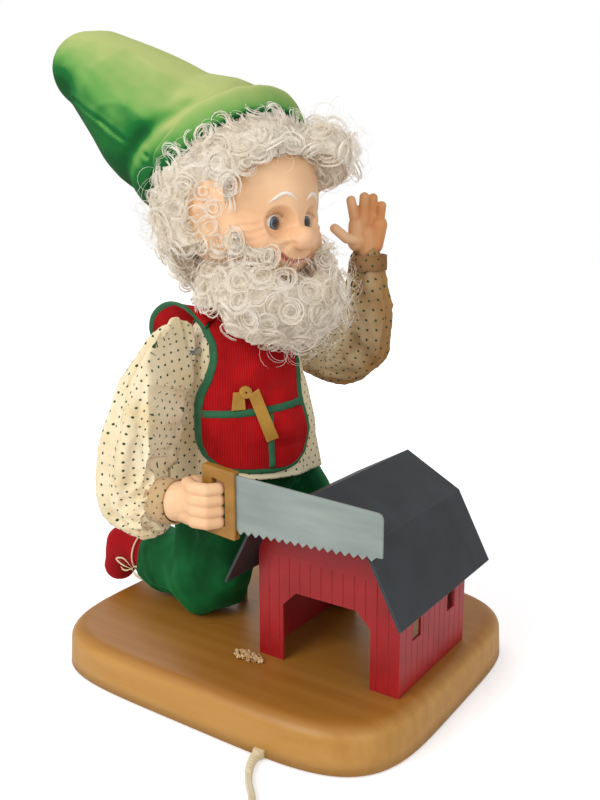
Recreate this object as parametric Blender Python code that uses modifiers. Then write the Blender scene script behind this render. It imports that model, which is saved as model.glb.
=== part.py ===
"""Animated display figure: a dressed elf kneels on a moulded base, saws at a toy barn and turns its head.

Lengths are metres. X runs along the base's long side, -Y is the front, +Z is up and the floor is z = 0.
Parts are placed from the middle of the base; FRAME_X then moves the whole figure so that the
origin lies under the middle of its outline, hat included.
"""
import math

import bmesh
import bpy
from mathutils import Matrix, Vector

GAP = 0.0003
FRAME_X = 0.0250

# Base
BASE_LENGTH = 0.3554
BASE_WIDTH = 0.3048
BASE_TOP = 0.0380
BASE_SKIRT_LIFT = 0.0015
BASE_WALL = 0.0025
BASE_EDGE_RADIUS = 0.0130
BASE_DRAFT = 0.0012
BASE_SQUARENESS = 4.76
COVER_LIFT = 0.0030
COVER_THICKNESS = 0.0025
FOOT_RADIUS = 0.0080
FOOT_INSET = 0.0350

# Barn
BARN_LEFT = 0.0236
BARN_FRONT = -0.0759
BARN_WIDTH = 0.1347
BARN_DEPTH = 0.1206
BARN_WALL = 0.0022
BOARD_PITCH = 0.0103
GROOVE_DEPTH = 0.0007
DOOR_LEFT = 0.0246
DOOR_WIDTH = 0.0838
DOOR_HEIGHT = 0.0644
DOOR_CHAMFER = 0.0130
WINDOW_WIDTH = 0.0140
WINDOW_HEIGHT = 0.0195
WINDOW_SILL = 0.0405
WINDOW_SPACING = 0.0636
ROOF_EAVE_REACH = 0.0823
ROOF_EAVE_Z = 0.1109
ROOF_BREAK_REACH = 0.0514
ROOF_BREAK_Z = 0.1702
ROOF_RIDGE_Z = 0.1988
ROOF_THICKNESS = 0.0022
ROOF_FRONT_OVERHANG = 0.0281
ROOF_BACK_OVERHANG = 0.0166

# Torso, its clothes and the trousers below it
TORSO_X = -0.0460
TORSO_BOTTOM = 0.1800
TORSO_TOP = 0.3240
TORSO_HALF_DEPTH = 0.0570
TORSO_HALF_WIDTH = 0.0545
TORSO_WALL = 0.0025
LAYER_GAP = 0.0005
SHIRT_THICKNESS = 0.0024
SHIRT_FLARE = 0.0080
VEST_THICKNESS = 0.0014
VEST_FACING = math.radians(52)
VEST_HALF_WIDTH = 0.0500
VEST_WAIST_HALF_WIDTH = 0.0420
VEST_HEM_Z = 0.1905
POCKET_TOP_Z = 0.2380
POCKET_THICKNESS = 0.0010
RULE_LEG = (0.0490, 0.0090, 0.0018)
ARM_PLANE = 0.0615

# Mechanism
SHAFT_X = -0.0540
SHAFT_Z = 0.2920
SHAFT_RADIUS = 0.0030
RUNNING_GAP = 0.0003
POST_RADIUS = 0.0050
POST_FLANGE_RADIUS = 0.0180
CHASSIS_HALF_WIDTH = 0.0300
CHASSIS_WALL = 0.0020
CHASSIS_TOP = 0.3140
LEVER_LENGTH = 0.0340
LEVER_THICKNESS = 0.0025
PIN_RADIUS = 0.0015
CRANK_Z = 0.2250
CRANK_RADIUS = 0.0120
CRANK_THROW = 0.0030
CRANK_THICKNESS = 0.0040
OPEN_PIVOT_GAP = 0.0004
MOTOR_CAN_RADIUS = 0.0180
MOTOR_CAN_LENGTH = 0.0180
GEARBOX_RADIUS = 0.0230
GEARBOX_LENGTH = 0.0140
HEAD_PIN_OFFSET = 0.0120
FORK_LIFT = 0.0120
FORK_THICKNESS = 0.0025
NECK_SHAFT_TOP = 0.3540
NECK_PLATE_Z = 0.3440
ARM_ROD_RADIUS = 0.0020

# Head, measured from the neck axis with x straight ahead and y to the figure's left
HEAD_YAW = math.radians(-12)
SKULL_CENTRE = (0.0160, 0.0, 0.4210)
SKULL_RADII = (0.0600, 0.0620, 0.0700)
NOSE_CENTRE = (0.0850, 0.0, 0.3885)
NOSE_RADII = (0.0115, 0.0120, 0.0105)
HEAD_WALL = 0.0030
NECK_RADIUS = 0.0255
NECK_BOTTOM = 0.3400
EYE_CENTRE = (0.0610, 0.0180, 0.4010)
EYE_RADIUS = 0.0105
WIG_CENTRE = (0.0110, 0.0, 0.4100)
WIG_RADII = (0.0900, 0.0815, 0.0865)
FACE_OPENING_CENTRE = (0.0800, 0.0, 0.4130)
FACE_OPENING_RADII = (0.0640, 0.0660, 0.0430)
FRINGE_CENTRE = (0.0600, 0.0460, 0.4560)
FRINGE_RADIUS = 0.0350
CHEEK_OPENING_CENTRE = (0.0500, 0.0720, 0.3980)
CHEEK_OPENING_RADII = (0.0780, 0.0420, 0.0270)
WIG_BOTTOM = 0.3330
WIG_JAW_X = -0.0100
BEARD_CENTRE = (0.0420, 0.0040, 0.3390)
BEARD_RADII = (0.0650, 0.0730, 0.0530)
BEARD_TOP = 0.3740
BEARD_CLEARANCE_RADIUS = 0.0680
BEARD_CLEARANCE_TOP = 0.3270
BEARD_SHOULDER_X = 0.0420
BEARD_SHOULDER_Z = 0.3245
HAT_TILT = math.radians(40)
HAT_MOUTH = (-0.0160, 0.0, 0.4590)
CUFF_RADIUS = 0.0715
CUFF_ROLL_RADIUS = 0.0085

# Saw
SAW_Y = -0.1100
BLADE_LEFT = 0.0280
BLADE_LENGTH = 0.1320
BLADE_HEEL_HEIGHT = 0.0490
BLADE_TIP_HEIGHT = 0.0370
BLADE_MIDDLE_Z = 0.1825
BLADE_THICKNESS = 0.0018
TOOTH_PITCH = 0.0074
TOOTH_DEPTH = 0.0036
HANDLE_WIDTH = 0.0330
HANDLE_HEIGHT = 0.0600
HANDLE_BAR = 0.0100
HANDLE_THICKNESS = 0.0080

# Cord
CORD_RADIUS = 0.0027
COIL_CENTRE = (0.1500, -0.1096 - BASE_WIDTH / 2)
COIL_INNER = 0.0216
COIL_PITCH = 0.0059
COIL_TURNS_PER_LAYER = 4
COIL_LAYER_RISE = 0.0062
COIL_BOTTOM = 0.0012
COIL_START = math.radians(150)
CORD_EXIT = (0.0790, 0.0007 - BASE_WIDTH / 2, 0.0042)
TIE_ANGLE = math.radians(60)
TIE_WALL = 0.0006
TIE_WIDTH = 0.0040
PLUG_BODY = (0.0220, 0.0190, 0.0110)
PLUG_BLADE = (0.0160, 0.0015, 0.0062)
PLUG_BLADE_SPACING = 0.0127
GLAND_HALF_WIDTH = 0.0045
GLAND_TOP = 0.0078
GLAND_LENGTH = 0.0100
ANKLE_REACH = 0.1640
LEFT_ANKLE_Z = 0.0740
BUSH_RADIUS = 0.0055
BUSH_FLANGE = 0.0080
BLADE_TENON = 0.0050


def collection(name):
    group = bpy.data.collections.new(name)
    bpy.context.scene.collection.children.link(group)
    return group


for leftover in list(bpy.data.objects):
    bpy.data.objects.remove(leftover, do_unlink=True)
PARTS = collection("animatronic_elf")


def linear(channel):
    return channel / 12.92 if channel <= 0.04045 else ((channel + 0.055) / 1.055) ** 2.4


def material(name, colour, roughness, metallic):
    """Principled material in one sRGB hex colour."""
    made = bpy.data.materials.new(name)
    made.use_nodes = True
    shader = made.node_tree.nodes["Principled BSDF"]
    rgb = [linear(int(colour[i:i + 2], 16) / 255) for i in (0, 2, 4)]
    shader.inputs["Base Color"].default_value = (*rgb, 1)
    shader.inputs["Roughness"].default_value = roughness
    shader.inputs["Metallic"].default_value = metallic
    made.diffuse_color = (*rgb, 1)
    return made


def linked(name, data):
    obj = bpy.data.objects.new(name, data)
    PARTS.objects.link(obj)
    return obj


def from_bmesh(name, bm):
    bmesh.ops.recalc_face_normals(bm, faces=bm.faces)
    mesh = bpy.data.meshes.new(name)
    bm.to_mesh(mesh)
    bm.free()
    return linked(name, mesh)


def frozen(obj):
    """The object with its modifiers or curve turned into a plain mesh, its caps welded, at the origin."""
    depsgraph = bpy.context.evaluated_depsgraph_get()
    evaluated = obj.evaluated_get(depsgraph)
    mesh = bpy.data.meshes.new_from_object(evaluated, depsgraph=depsgraph)
    mesh.transform(obj.matrix_world)
    name = obj.name
    bpy.data.objects.remove(obj, do_unlink=True)
    bm = bmesh.new()
    bm.from_mesh(mesh)
    bpy.data.meshes.remove(mesh)
    bmesh.ops.remove_doubles(bm, verts=bm.verts, dist=1e-6)
    return from_bmesh(name, bm)


def combined(target, other, operation, keep_other=False):
    """Exact Boolean of two solids."""
    modifier = target.modifiers.new("combine", "BOOLEAN")
    modifier.operation = operation
    modifier.object = other
    result = frozen(target)
    if not keep_other:
        bpy.data.objects.remove(other, do_unlink=True)
    return result


def cut(target, *cutters):
    for cutter in cutters:
        target = combined(target, cutter, "DIFFERENCE")
    return target


def joined(target, *others):
    for other in others:
        target = combined(target, other, "UNION")
    return target


def box(name, low, high, bevel=0.0):
    """Box between two corners, with rounded edges if a bevel is given."""
    bm = bmesh.new()
    bmesh.ops.create_cube(bm, size=1)
    for vert in bm.verts:
        vert.co = [low[i] if vert.co[i] < 0 else high[i] for i in range(3)]
    obj = from_bmesh(name, bm)
    if bevel:
        rounding = obj.modifiers.new("edges", "BEVEL")
        rounding.width = bevel
        rounding.segments = 2
        obj = frozen(obj)
    return obj


def ball(name, centre, radii, around=24, rings=14, grow=0.0, turn=None):
    """Ellipsoid; grow makes a cutter that leaves clearance, turn is an extra placing matrix."""
    bm = bmesh.new()
    bmesh.ops.create_uvsphere(bm, u_segments=around, v_segments=rings, radius=1)
    size = Matrix.Diagonal([r + grow for r in radii]).to_4x4()
    place = Matrix.Translation(centre) @ size
    bmesh.ops.transform(bm, matrix=(turn or Matrix()) @ place, verts=bm.verts)
    return from_bmesh(name, bm)


def rod(name, start, end, radius, sides=16):
    """Straight round bar between two points."""
    start, end = Vector(start), Vector(end)
    bm = bmesh.new()
    length = (end - start).length
    bmesh.ops.create_cone(bm, cap_ends=True, segments=sides, radius1=radius, radius2=radius, depth=length)
    turn = (end - start).to_track_quat("Z", "Y").to_matrix().to_4x4()
    bmesh.ops.transform(bm, matrix=Matrix.Translation((start + end) / 2) @ turn, verts=bm.verts)
    return from_bmesh(name, bm)


def turned(name, profile, place, sides=20, hollow=False):
    """Body of revolution about Z: profile points (radius, height), from the top down its outer side."""
    mesh = bpy.data.meshes.new(name)
    edges = [(i, i + 1) for i in range(len(profile) - 1)]
    if hollow:
        edges.append((len(profile) - 1, 0))
    mesh.from_pydata([(r, 0, h) for r, h in profile], edges, [])
    obj = linked(name, mesh)
    screw = obj.modifiers.new("turn", "SCREW")
    screw.steps = screw.render_steps = sides
    screw.use_merge_vertices = True
    screw.merge_threshold = 0.00001
    obj.matrix_world = place
    return frozen(obj)


def along_y(x, z, y=0.0):
    """Placing matrix that lays a turned part's axis along +Y."""
    return Matrix.Translation((x, y, z)) @ Matrix.Rotation(math.radians(-90), 4, "X")


def in_xz(y):
    """Placing matrix for a flat plate that stands in the XZ plane."""
    return Matrix.Translation((0, y, 0)) @ Matrix.Rotation(math.radians(90), 4, "X")


def plate(name, outlines, thickness, place):
    """Flat plate from closed outlines; the first is the rim and the others are holes."""
    curve = bpy.data.curves.new(name, "CURVE")
    curve.dimensions = "2D"
    curve.fill_mode = "BOTH"
    curve.extrude = thickness / 2
    for outline in outlines:
        spline = curve.splines.new("POLY")
        spline.points.add(len(outline) - 1)
        spline.use_cyclic_u = True
        for point, (x, y) in zip(spline.points, outline):
            point.co = (x, y, 0, 1)
    obj = linked(name, curve)
    obj.matrix_world = place
    return frozen(obj)


def stamped(name, outline, thickness, place):
    """Flat plate from one outline of many points, without holes."""
    bm = bmesh.new()
    face = bm.faces.new([bm.verts.new((x, y, -thickness / 2)) for x, y in outline])
    raised = bmesh.ops.extrude_face_region(bm, geom=[face])["geom"]
    top = [item for item in raised if isinstance(item, bmesh.types.BMVert)]
    bmesh.ops.translate(bm, vec=(0, 0, thickness), verts=top)
    bmesh.ops.recalc_face_normals(bm, faces=bm.faces)
    obj = from_bmesh(name, bm)
    obj.matrix_world = place
    return frozen(obj)


def tube(name, points, radius, resolution=2):
    """Round wire or cord through the points."""
    curve = bpy.data.curves.new(name, "CURVE")
    curve.dimensions = "3D"
    curve.bevel_depth = radius
    curve.bevel_resolution = resolution
    curve.use_fill_caps = True
    spline = curve.splines.new("POLY")
    spline.points.add(len(points) - 1)
    for point, place in zip(spline.points, points):
        point.co = (*place, 1)
    return frozen(linked(name, curve))


def circle(x, y, radius, count=16):
    turns = [2 * math.pi * i / count for i in range(count)]
    return [(x + radius * math.cos(t), y + radius * math.sin(t)) for t in turns]


def link_outline(start, end, start_radius, end_radius, count=8):
    """Outline of a flat link: two round ends joined by straight sides."""
    heading = math.atan2(end[1] - start[1], end[0] - start[0])
    outline = []
    for centre, radius, first in ((end, end_radius, -90), (start, start_radius, 90)):
        for i in range(count + 1):
            turn = heading + math.radians(first + 180 * i / count)
            outline.append((centre[0] + radius * math.cos(turn), centre[1] + radius * math.sin(turn)))
    return outline


def eased(points, pieces):
    """Catmull-Rom curve through the points, with a number of pieces between each two."""
    knots = [Vector(p) for p in points]
    knots = [2 * knots[0] - knots[1], *knots, 2 * knots[-1] - knots[-2]]
    route = []
    for a, b, c, d in zip(knots, knots[1:], knots[2:], knots[3:]):
        for i in range(pieces):
            t = i / pieces
            route.append(0.5 * (2 * b + (c - a) * t + (2 * a - 5 * b + 4 * c - d) * t ** 2
                                + (3 * b - a - 3 * c + d) * t ** 3))
    route.append(knots[-2])
    return route


def superellipse(length, width, count=36):
    """Plan outline of the base: bulged sides and round corners."""
    outline = []
    power = 2 / BASE_SQUARENESS
    for i in range(count):
        c, s = math.cos(2 * math.pi * i / count), math.sin(2 * math.pi * i / count)
        outline.append((math.copysign(abs(c) ** power, c) * length / 2,
                        math.copysign(abs(s) ** power, s) * width / 2))
    return outline


def skinned(name, rings, closed=False, bottom=True, top=True):
    """Skin over rings of equally many points, bottom first; closed joins the last ring to the first."""
    bm = bmesh.new()
    loops = [[bm.verts.new(point) for point in ring] for ring in rings]
    pairs = list(zip(loops, loops[1:]))
    if closed:
        pairs.append((loops[-1], loops[0]))
    for low, high in pairs:
        for i in range(len(low)):
            j = (i + 1) % len(low)
            bm.faces.new((low[i], low[j], high[j], high[i]))
    if bottom and not closed:
        bm.faces.new(reversed(loops[0]))
    if top and not closed:
        bm.faces.new(loops[-1])
    return from_bmesh(name, bm)


def balls_hull(bm, start, end, grow):
    """Add the hull of two balls, each (centre, radius), to a mesh."""
    piece = bmesh.new()
    for centre, radius in (start, end):
        bmesh.ops.create_icosphere(piece, subdivisions=2, radius=radius + grow,
                                   matrix=Matrix.Translation(centre))
    hull = bmesh.ops.convex_hull(piece, input=piece.verts)
    inside = [v for v in hull["geom_interior"] if isinstance(v, bmesh.types.BMVert)]
    bmesh.ops.delete(piece, geom=inside, context="VERTS")
    bmesh.ops.delete(piece, geom=[f for f in piece.faces if not f.is_valid], context="FACES")
    copy = bpy.data.meshes.new("hull")
    piece.to_mesh(copy)
    piece.free()
    bm.from_mesh(copy)
    bpy.data.meshes.remove(copy)


def stuffed(name, chains, faces, voxel=0.004, grow=0.0, smoothing=6):
    """Soft limb that swells and tapers: balls hulled in pairs along each chain, fused and thinned."""
    bm = bmesh.new()
    for chain in chains:
        for start, end in zip(chain, chain[1:]):
            balls_hull(bm, start, end, grow)
    obj = from_bmesh(name, bm)
    remesh = obj.modifiers.new("fuse", "REMESH")
    remesh.mode = "VOXEL"
    remesh.voxel_size = voxel
    smooth = obj.modifiers.new("soften", "SMOOTH")
    smooth.iterations = smoothing
    obj = frozen(obj)
    thin = obj.modifiers.new("thin", "DECIMATE")
    thin.ratio = min(1.0, faces / sum(len(p.vertices) - 2 for p in obj.data.polygons))
    thin.use_collapse_triangulate = True
    return frozen(obj)


HEAD_TURN = Matrix.Translation((SHAFT_X, 0, 0)) @ Matrix.Rotation(HEAD_YAW, 4, "Z")


def base_rings(inset, heights):
    return [[(x, y, z) for x, y in superellipse(BASE_LENGTH - 2 * (inset + i),
                                                BASE_WIDTH - 2 * (inset + i))] for i, z in heights]


def make_base_shell():
    """Moulded tray turned upside down: drafted skirt, rounded top edge, open underneath."""
    side = BASE_TOP - BASE_EDGE_RADIUS
    heights = [(0.0, BASE_SKIRT_LIFT), (BASE_DRAFT, side)]
    for i in range(1, 5):
        turn = math.radians(22.5 * i)
        heights.append((BASE_DRAFT + BASE_EDGE_RADIUS * (1 - math.cos(turn)),
                        side + BASE_EDGE_RADIUS * math.sin(turn)))
    shell = skinned("base_shell", base_rings(0, heights), bottom=False)
    thicken = shell.modifiers.new("wall", "SOLIDIFY")
    thicken.thickness = BASE_WALL
    thicken.offset = -1
    shell = frozen(shell)
    x, y, z = CORD_EXIT
    notch = box("notch", (x - GLAND_HALF_WIDTH - GAP, y - 0.010, -0.001),
                (x + GLAND_HALF_WIDTH + GAP, y + 0.010, GLAND_TOP + GAP))
    post_hole = rod("post_hole", (SHAFT_X, 0, 0.030), (SHAFT_X, 0, 0.045), POST_RADIUS + GAP)
    return cut(shell, notch, post_hole)


def make_base_cover():
    """Hardboard panel that closes the underside inside the skirt."""
    inset = BASE_WALL + BASE_DRAFT + 2 * GAP
    outline = superellipse(BASE_LENGTH - 2 * inset, BASE_WIDTH - 2 * inset)
    place = Matrix.Translation((0, 0, COVER_LIFT + COVER_THICKNESS / 2))
    cover = plate("base_cover", [outline], COVER_THICKNESS, place)
    x, y, z = CORD_EXIT
    relief = box("gland_relief", (x - GLAND_HALF_WIDTH - GAP, y - 0.005, 0.0),
                 (x + GLAND_HALF_WIDTH + GAP, y + GLAND_LENGTH, 0.010))
    return cut(cover, relief)


FOOT_CORNERS = {"front_left": (-1, -1), "front_right": (1, -1), "back_left": (-1, 1),
                "back_right": (1, 1)}


def make_foot(corner):
    """Rubber foot under the cover: its flat underside is what the figure stands on."""
    sx, sy = FOOT_CORNERS[corner]
    x = sx * (BASE_LENGTH / 2 - FOOT_INSET)
    y = sy * (BASE_WIDTH / 2 - FOOT_INSET)
    top = COVER_LIFT - GAP
    profile = [(0, top), (FOOT_RADIUS, top), (FOOT_RADIUS - 0.0008, 0), (0, 0)]
    return turned("foot_" + corner, profile, Matrix.Translation((x, y, 0)), sides=16)


def make_cord_gland():
    """Moulded strain relief in the notch of the skirt; the cord leaves through its outer face."""
    x, y, z = CORD_EXIT
    return box("cord_gland", (x - GLAND_HALF_WIDTH, y - 0.0030, 0.0010),
               (x + GLAND_HALF_WIDTH, y + GLAND_LENGTH - GAP, GLAND_TOP), bevel=0.0006)


def roof_half(offset):
    """Gambrel roof line as (reach, z) at ridge, break and eave, moved inwards by an offset."""
    ridge = (0.0, ROOF_RIDGE_Z)
    knee = (ROOF_BREAK_REACH, ROOF_BREAK_Z)
    eave = (ROOF_EAVE_REACH, ROOF_EAVE_Z)
    lines = []
    for a, b in ((ridge, knee), (knee, eave)):
        dx, dz = b[0] - a[0], b[1] - a[1]
        size = math.hypot(dx, dz)
        normal = (dz / size, -dx / size)
        lines.append(((a[0] + normal[0] * offset, a[1] + normal[1] * offset), dx / size, dz / size))
    (p, px, pz), (q, qx, qz) = lines
    t = ((q[0] - p[0]) * qz - (q[1] - p[1]) * qx) / (px * qz - pz * qx)
    moved_break = (p[0] + px * t, p[1] + pz * t)
    moved_ridge = (0.0, p[1] - pz / px * p[0])
    length = math.hypot(eave[0] - knee[0], eave[1] - knee[1])
    return [moved_ridge, moved_break, (q[0] + qx * length, q[1] + qz * length)]


def roof_z(offset, reach):
    """Height of the moved roof line at a distance from the ridge."""
    ridge, knee, eave = roof_half(offset)
    a, b = (ridge, knee) if reach <= knee[0] else (knee, eave)
    return a[1] + (b[1] - a[1]) * (reach - a[0]) / (b[0] - a[0])


def barn_middle():
    return BARN_LEFT + BARN_WIDTH / 2


def boarded_side(start, heading, normal, length):
    """Plan points of one boarded wall: a shallow V groove at each board edge."""
    count = max(2, round(length / BOARD_PITCH))
    pitch = length / count
    points = []
    for i in range(1, count):
        middle = i * pitch
        for along, depth in ((middle - GROOVE_DEPTH, 0), (middle, GROOVE_DEPTH),
                             (middle + GROOVE_DEPTH, 0)):
            points.append((start[0] + heading[0] * along - normal[0] * depth,
                           start[1] + heading[1] * along - normal[1] * depth))
    return points


def make_barn_walls():
    """Hollow moulded barn: boarded walls, plain gables, a doorway at each end and side windows."""
    left, front = BARN_LEFT, BARN_FRONT
    right, back = left + BARN_WIDTH, front + BARN_DEPTH
    middle = barn_middle()
    floor = BASE_TOP + GAP
    eave = roof_z(ROOF_THICKNESS + GAP, BARN_WIDTH / 2) - 0.0010
    outline = [(left, front)] + boarded_side((left, front), (1, 0), (0, -1), BARN_WIDTH)
    outline += [(right, front)] + boarded_side((right, front), (0, 1), (1, 0), BARN_DEPTH)
    outline += [(right, back)] + boarded_side((right, back), (-1, 0), (0, 1), BARN_WIDTH)
    outline += [(left, back)] + boarded_side((left, back), (0, -1), (-1, 0), BARN_DEPTH)
    inner = [(left + BARN_WALL, front + BARN_WALL), (right - BARN_WALL, front + BARN_WALL),
             (right - BARN_WALL, back - BARN_WALL), (left + BARN_WALL, back - BARN_WALL)]
    walls = plate("barn_walls", [outline, inner], eave - floor,
                  Matrix.Translation((0, 0, (eave + floor) / 2)))
    ridge, knee, _ = roof_half(ROOF_THICKNESS + GAP)
    side = (BARN_WIDTH / 2 - 0.0002, roof_z(ROOF_THICKNESS + GAP, BARN_WIDTH / 2 - 0.0002))
    gable = [(side[0], eave - 0.0020), side, knee, ridge, (-knee[0], knee[1]), (-side[0], side[1]),
             (-side[0], eave - 0.0020)]
    gable = [(middle + x, z) for x, z in gable]
    for y in (front + BARN_WALL / 2, back - BARN_WALL / 2):
        walls = joined(walls, plate("gable", [gable], BARN_WALL - 0.0002, in_xz(y)))
    door_left = left + DOOR_LEFT
    door_right = door_left + DOOR_WIDTH
    door_top = BASE_TOP + DOOR_HEIGHT
    door = [(door_left, floor - 0.01), (door_right, floor - 0.01), (door_right, door_top - DOOR_CHAMFER),
            (door_right - DOOR_CHAMFER, door_top), (door_left + DOOR_CHAMFER, door_top),
            (door_left, door_top - DOOR_CHAMFER)]
    cutters = [plate("doorway", [door], BARN_DEPTH + 0.02, in_xz(front + BARN_DEPTH / 2))]
    for y in (-WINDOW_SPACING / 2, WINDOW_SPACING / 2):
        low = (left - 0.01, front + BARN_DEPTH / 2 + y - WINDOW_WIDTH / 2, BASE_TOP + WINDOW_SILL)
        high = (right + 0.01, low[1] + WINDOW_WIDTH, low[2] + WINDOW_HEIGHT)
        cutters.append(box("window", low, high))
    return cut(walls, *cutters)


def make_barn_roof():
    """Gambrel roof in one folded sheet, overhanging at the front and back."""
    outer, inner = roof_half(0), roof_half(ROOF_THICKNESS)
    half = [outer[2], outer[1], outer[0]] + [(-x, z) for x, z in (outer[1], outer[2])]
    under = [(-x, z) for x, z in (inner[2], inner[1])] + [inner[0], inner[1], inner[2]]
    outline = [(barn_middle() + x, z) for x, z in half + under]
    front = BARN_FRONT - ROOF_FRONT_OVERHANG
    back = BARN_FRONT + BARN_DEPTH + ROOF_BACK_OVERHANG
    return plate("barn_roof", [outline], back - front, in_xz((front + back) / 2))


def make_wood_shavings():
    """Little heap of shavings glued to the base in front of the barn."""
    heap = ball("wood_shavings", (0.0210, -0.0895, BASE_TOP + 0.0010), (0.0175, 0.0085, 0.0050), 16, 10)
    return cut(heap, box("flat", (-0.1, -0.2, 0), (0.1, 0.0, BASE_TOP + GAP)))


def torso_rings(grow, flare=0.0, count=20):
    """Oval rings of the torso from hip to neck, grown outwards by a thickness."""
    rings = []
    for share, depth, width, ahead in ((0.0, 0.92, 0.95, 0.0), (0.25, 1.0, 1.0, 0.0),
                                       (0.50, 0.94, 0.99, -0.001), (0.68, 0.84, 0.98, -0.003),
                                       (0.82, 0.72, 0.96, -0.005), (0.91, 0.58, 0.84, -0.007),
                                       (0.97, 0.42, 0.58, -0.008), (1.0, 0.245, 0.257, -0.008)):
        z = TORSO_BOTTOM + (TORSO_TOP - TORSO_BOTTOM) * share
        spread = grow + flare * max(0.0, 1 - share / 0.2)
        lift = grow * share if share > 0.9 else 0.0
        a = TORSO_HALF_DEPTH * depth + (spread if share < 1.0 else 0.0)
        b = TORSO_HALF_WIDTH * width + (grow if share < 1.0 else 0.0)
        z = z + lift
        rings.append([(TORSO_X + ahead + a * math.cos(t), b * math.sin(t), z)
                      for t in (2 * math.pi * i / count for i in range(count))])
    return rings


def make_torso_shell():
    """Moulded body housing: open at the hip and neck, with a hole for the shoulder shaft in each side."""
    shell = skinned("torso_shell", torso_rings(-TORSO_WALL) [::-1] + torso_rings(0), closed=True)
    holes = [rod("shoulder_hole", (SHAFT_X, side * 0.030, SHAFT_Z), (SHAFT_X, side * 0.080, SHAFT_Z),
                 0.0070) for side in (-1, 1)]
    return cut(shell, *holes)


def make_shirt_body():
    """Body of the shirt over the torso housing, flared at the hem, with a hole for each arm."""
    outer = torso_rings(LAYER_GAP + SHIRT_THICKNESS, flare=SHIRT_FLARE)
    shirt = skinned("shirt_body", torso_rings(LAYER_GAP)[::-1] + outer, closed=True)
    holes = [rod("arm_hole", (SHAFT_X, side * 0.030, SHAFT_Z), (SHAFT_X, side * 0.080, SHAFT_Z), 0.0100)
             for side in (-1, 1)]
    return cut(shirt, *holes)


def vest_place(out=0.0):
    """Matrix of the vest's own plane: x to the figure's left, y up, z out of the chest."""
    facing = Vector((math.sin(VEST_FACING), -math.cos(VEST_FACING), 0))
    left = Vector((math.cos(VEST_FACING), math.sin(VEST_FACING), 0))
    turn = Matrix((left, Vector((0, 0, 1)), facing)).transposed().to_4x4()
    return Matrix.Translation(Vector((TORSO_X, 0, 0)) + facing * out) @ turn


def mirrored_outline(half):
    return half + [(-x, y) for x, y in reversed(half)]


def bib_outline():
    """Outline of the vest: rounded hem, drawn in at the armholes, straight over the shoulders."""
    w, a = VEST_HALF_WIDTH, VEST_WAIST_HALF_WIDTH
    hem = VEST_HEM_Z
    half = [(0.46 * w, hem), (0.74 * w, hem + 0.004), (0.92 * w, hem + 0.013), (w, hem + 0.028),
            (0.97 * w, POCKET_TOP_Z - 0.004), (a * 1.06, POCKET_TOP_Z + 0.014), (a, POCKET_TOP_Z + 0.032),
            (a * 1.02, SHAFT_Z - 0.004), (a * 1.06, TORSO_TOP + 0.010)]
    return mirrored_outline(half)


def make_vest():
    """Tabard in one piece: bib, back panel and two shoulder straps round the neck."""
    stack = 2 * LAYER_GAP + SHIRT_THICKNESS
    under = torso_rings(stack, flare=SHIRT_FLARE)
    outer = torso_rings(stack + VEST_THICKNESS, flare=SHIRT_FLARE)
    vest = skinned("vest", under[::-1] + outer, closed=True)
    vest = combined(vest, plate("bib", [bib_outline()], 0.30, vest_place()), "INTERSECT")
    return cut(vest, rod("arm_hole", (SHAFT_X, 0.030, SHAFT_Z), (SHAFT_X, 0.080, SHAFT_Z), 0.0100))


def make_vest_pocket():
    """Patch pocket across the lower bib."""
    stack = 3 * LAYER_GAP + SHIRT_THICKNESS + VEST_THICKNESS
    under = torso_rings(stack, flare=SHIRT_FLARE)
    outer = torso_rings(stack + POCKET_THICKNESS, flare=SHIRT_FLARE)
    pocket = skinned("vest_pocket", under[::-1] + outer, closed=True)
    w, hem = VEST_HALF_WIDTH - 0.003, VEST_HEM_Z + 0.003
    half = [(0.46 * w, hem), (0.74 * w, hem + 0.004), (0.92 * w, hem + 0.013), (w, hem + 0.026),
            (0.97 * w, POCKET_TOP_Z)]
    front = plate("pocket_front", [mirrored_outline(half)], 0.15, vest_place(0.075))
    return combined(pocket, front, "INTERSECT")


def make_folding_rule():
    """Toy folding rule in the pocket: two legs on one rivet, opened in a narrow V."""
    length, width, thickness = RULE_LEG
    out = TORSO_HALF_DEPTH + 3 * LAYER_GAP + SHIRT_THICKNESS + VEST_THICKNESS + POCKET_THICKNESS - 0.0018
    pivot = (-0.0170, 0.2560)
    front_foot = (pivot[0] + length * math.sin(math.radians(29)),
                  pivot[1] - length * math.cos(math.radians(29)))
    back_foot = (pivot[0] - 0.0040, POCKET_TOP_Z + 0.0015)
    front = plate("folding_rule", [link_outline(pivot, front_foot, width / 2, width / 2, 4)], thickness,
                  vest_place(out + thickness * 1.5))
    back = plate("rule_back_leg", [link_outline(pivot, back_foot, width / 2, width / 2, 4)],
                 thickness * 1.2,
                 vest_place(out + thickness * 0.5))
    return cut(joined(front, back), rod("rivet_hole", vest_place(out - 0.01) @ Vector((*pivot, 0)),
                                        vest_place(out + 0.01) @ Vector((*pivot, 0)), 0.0008, 8))


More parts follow.
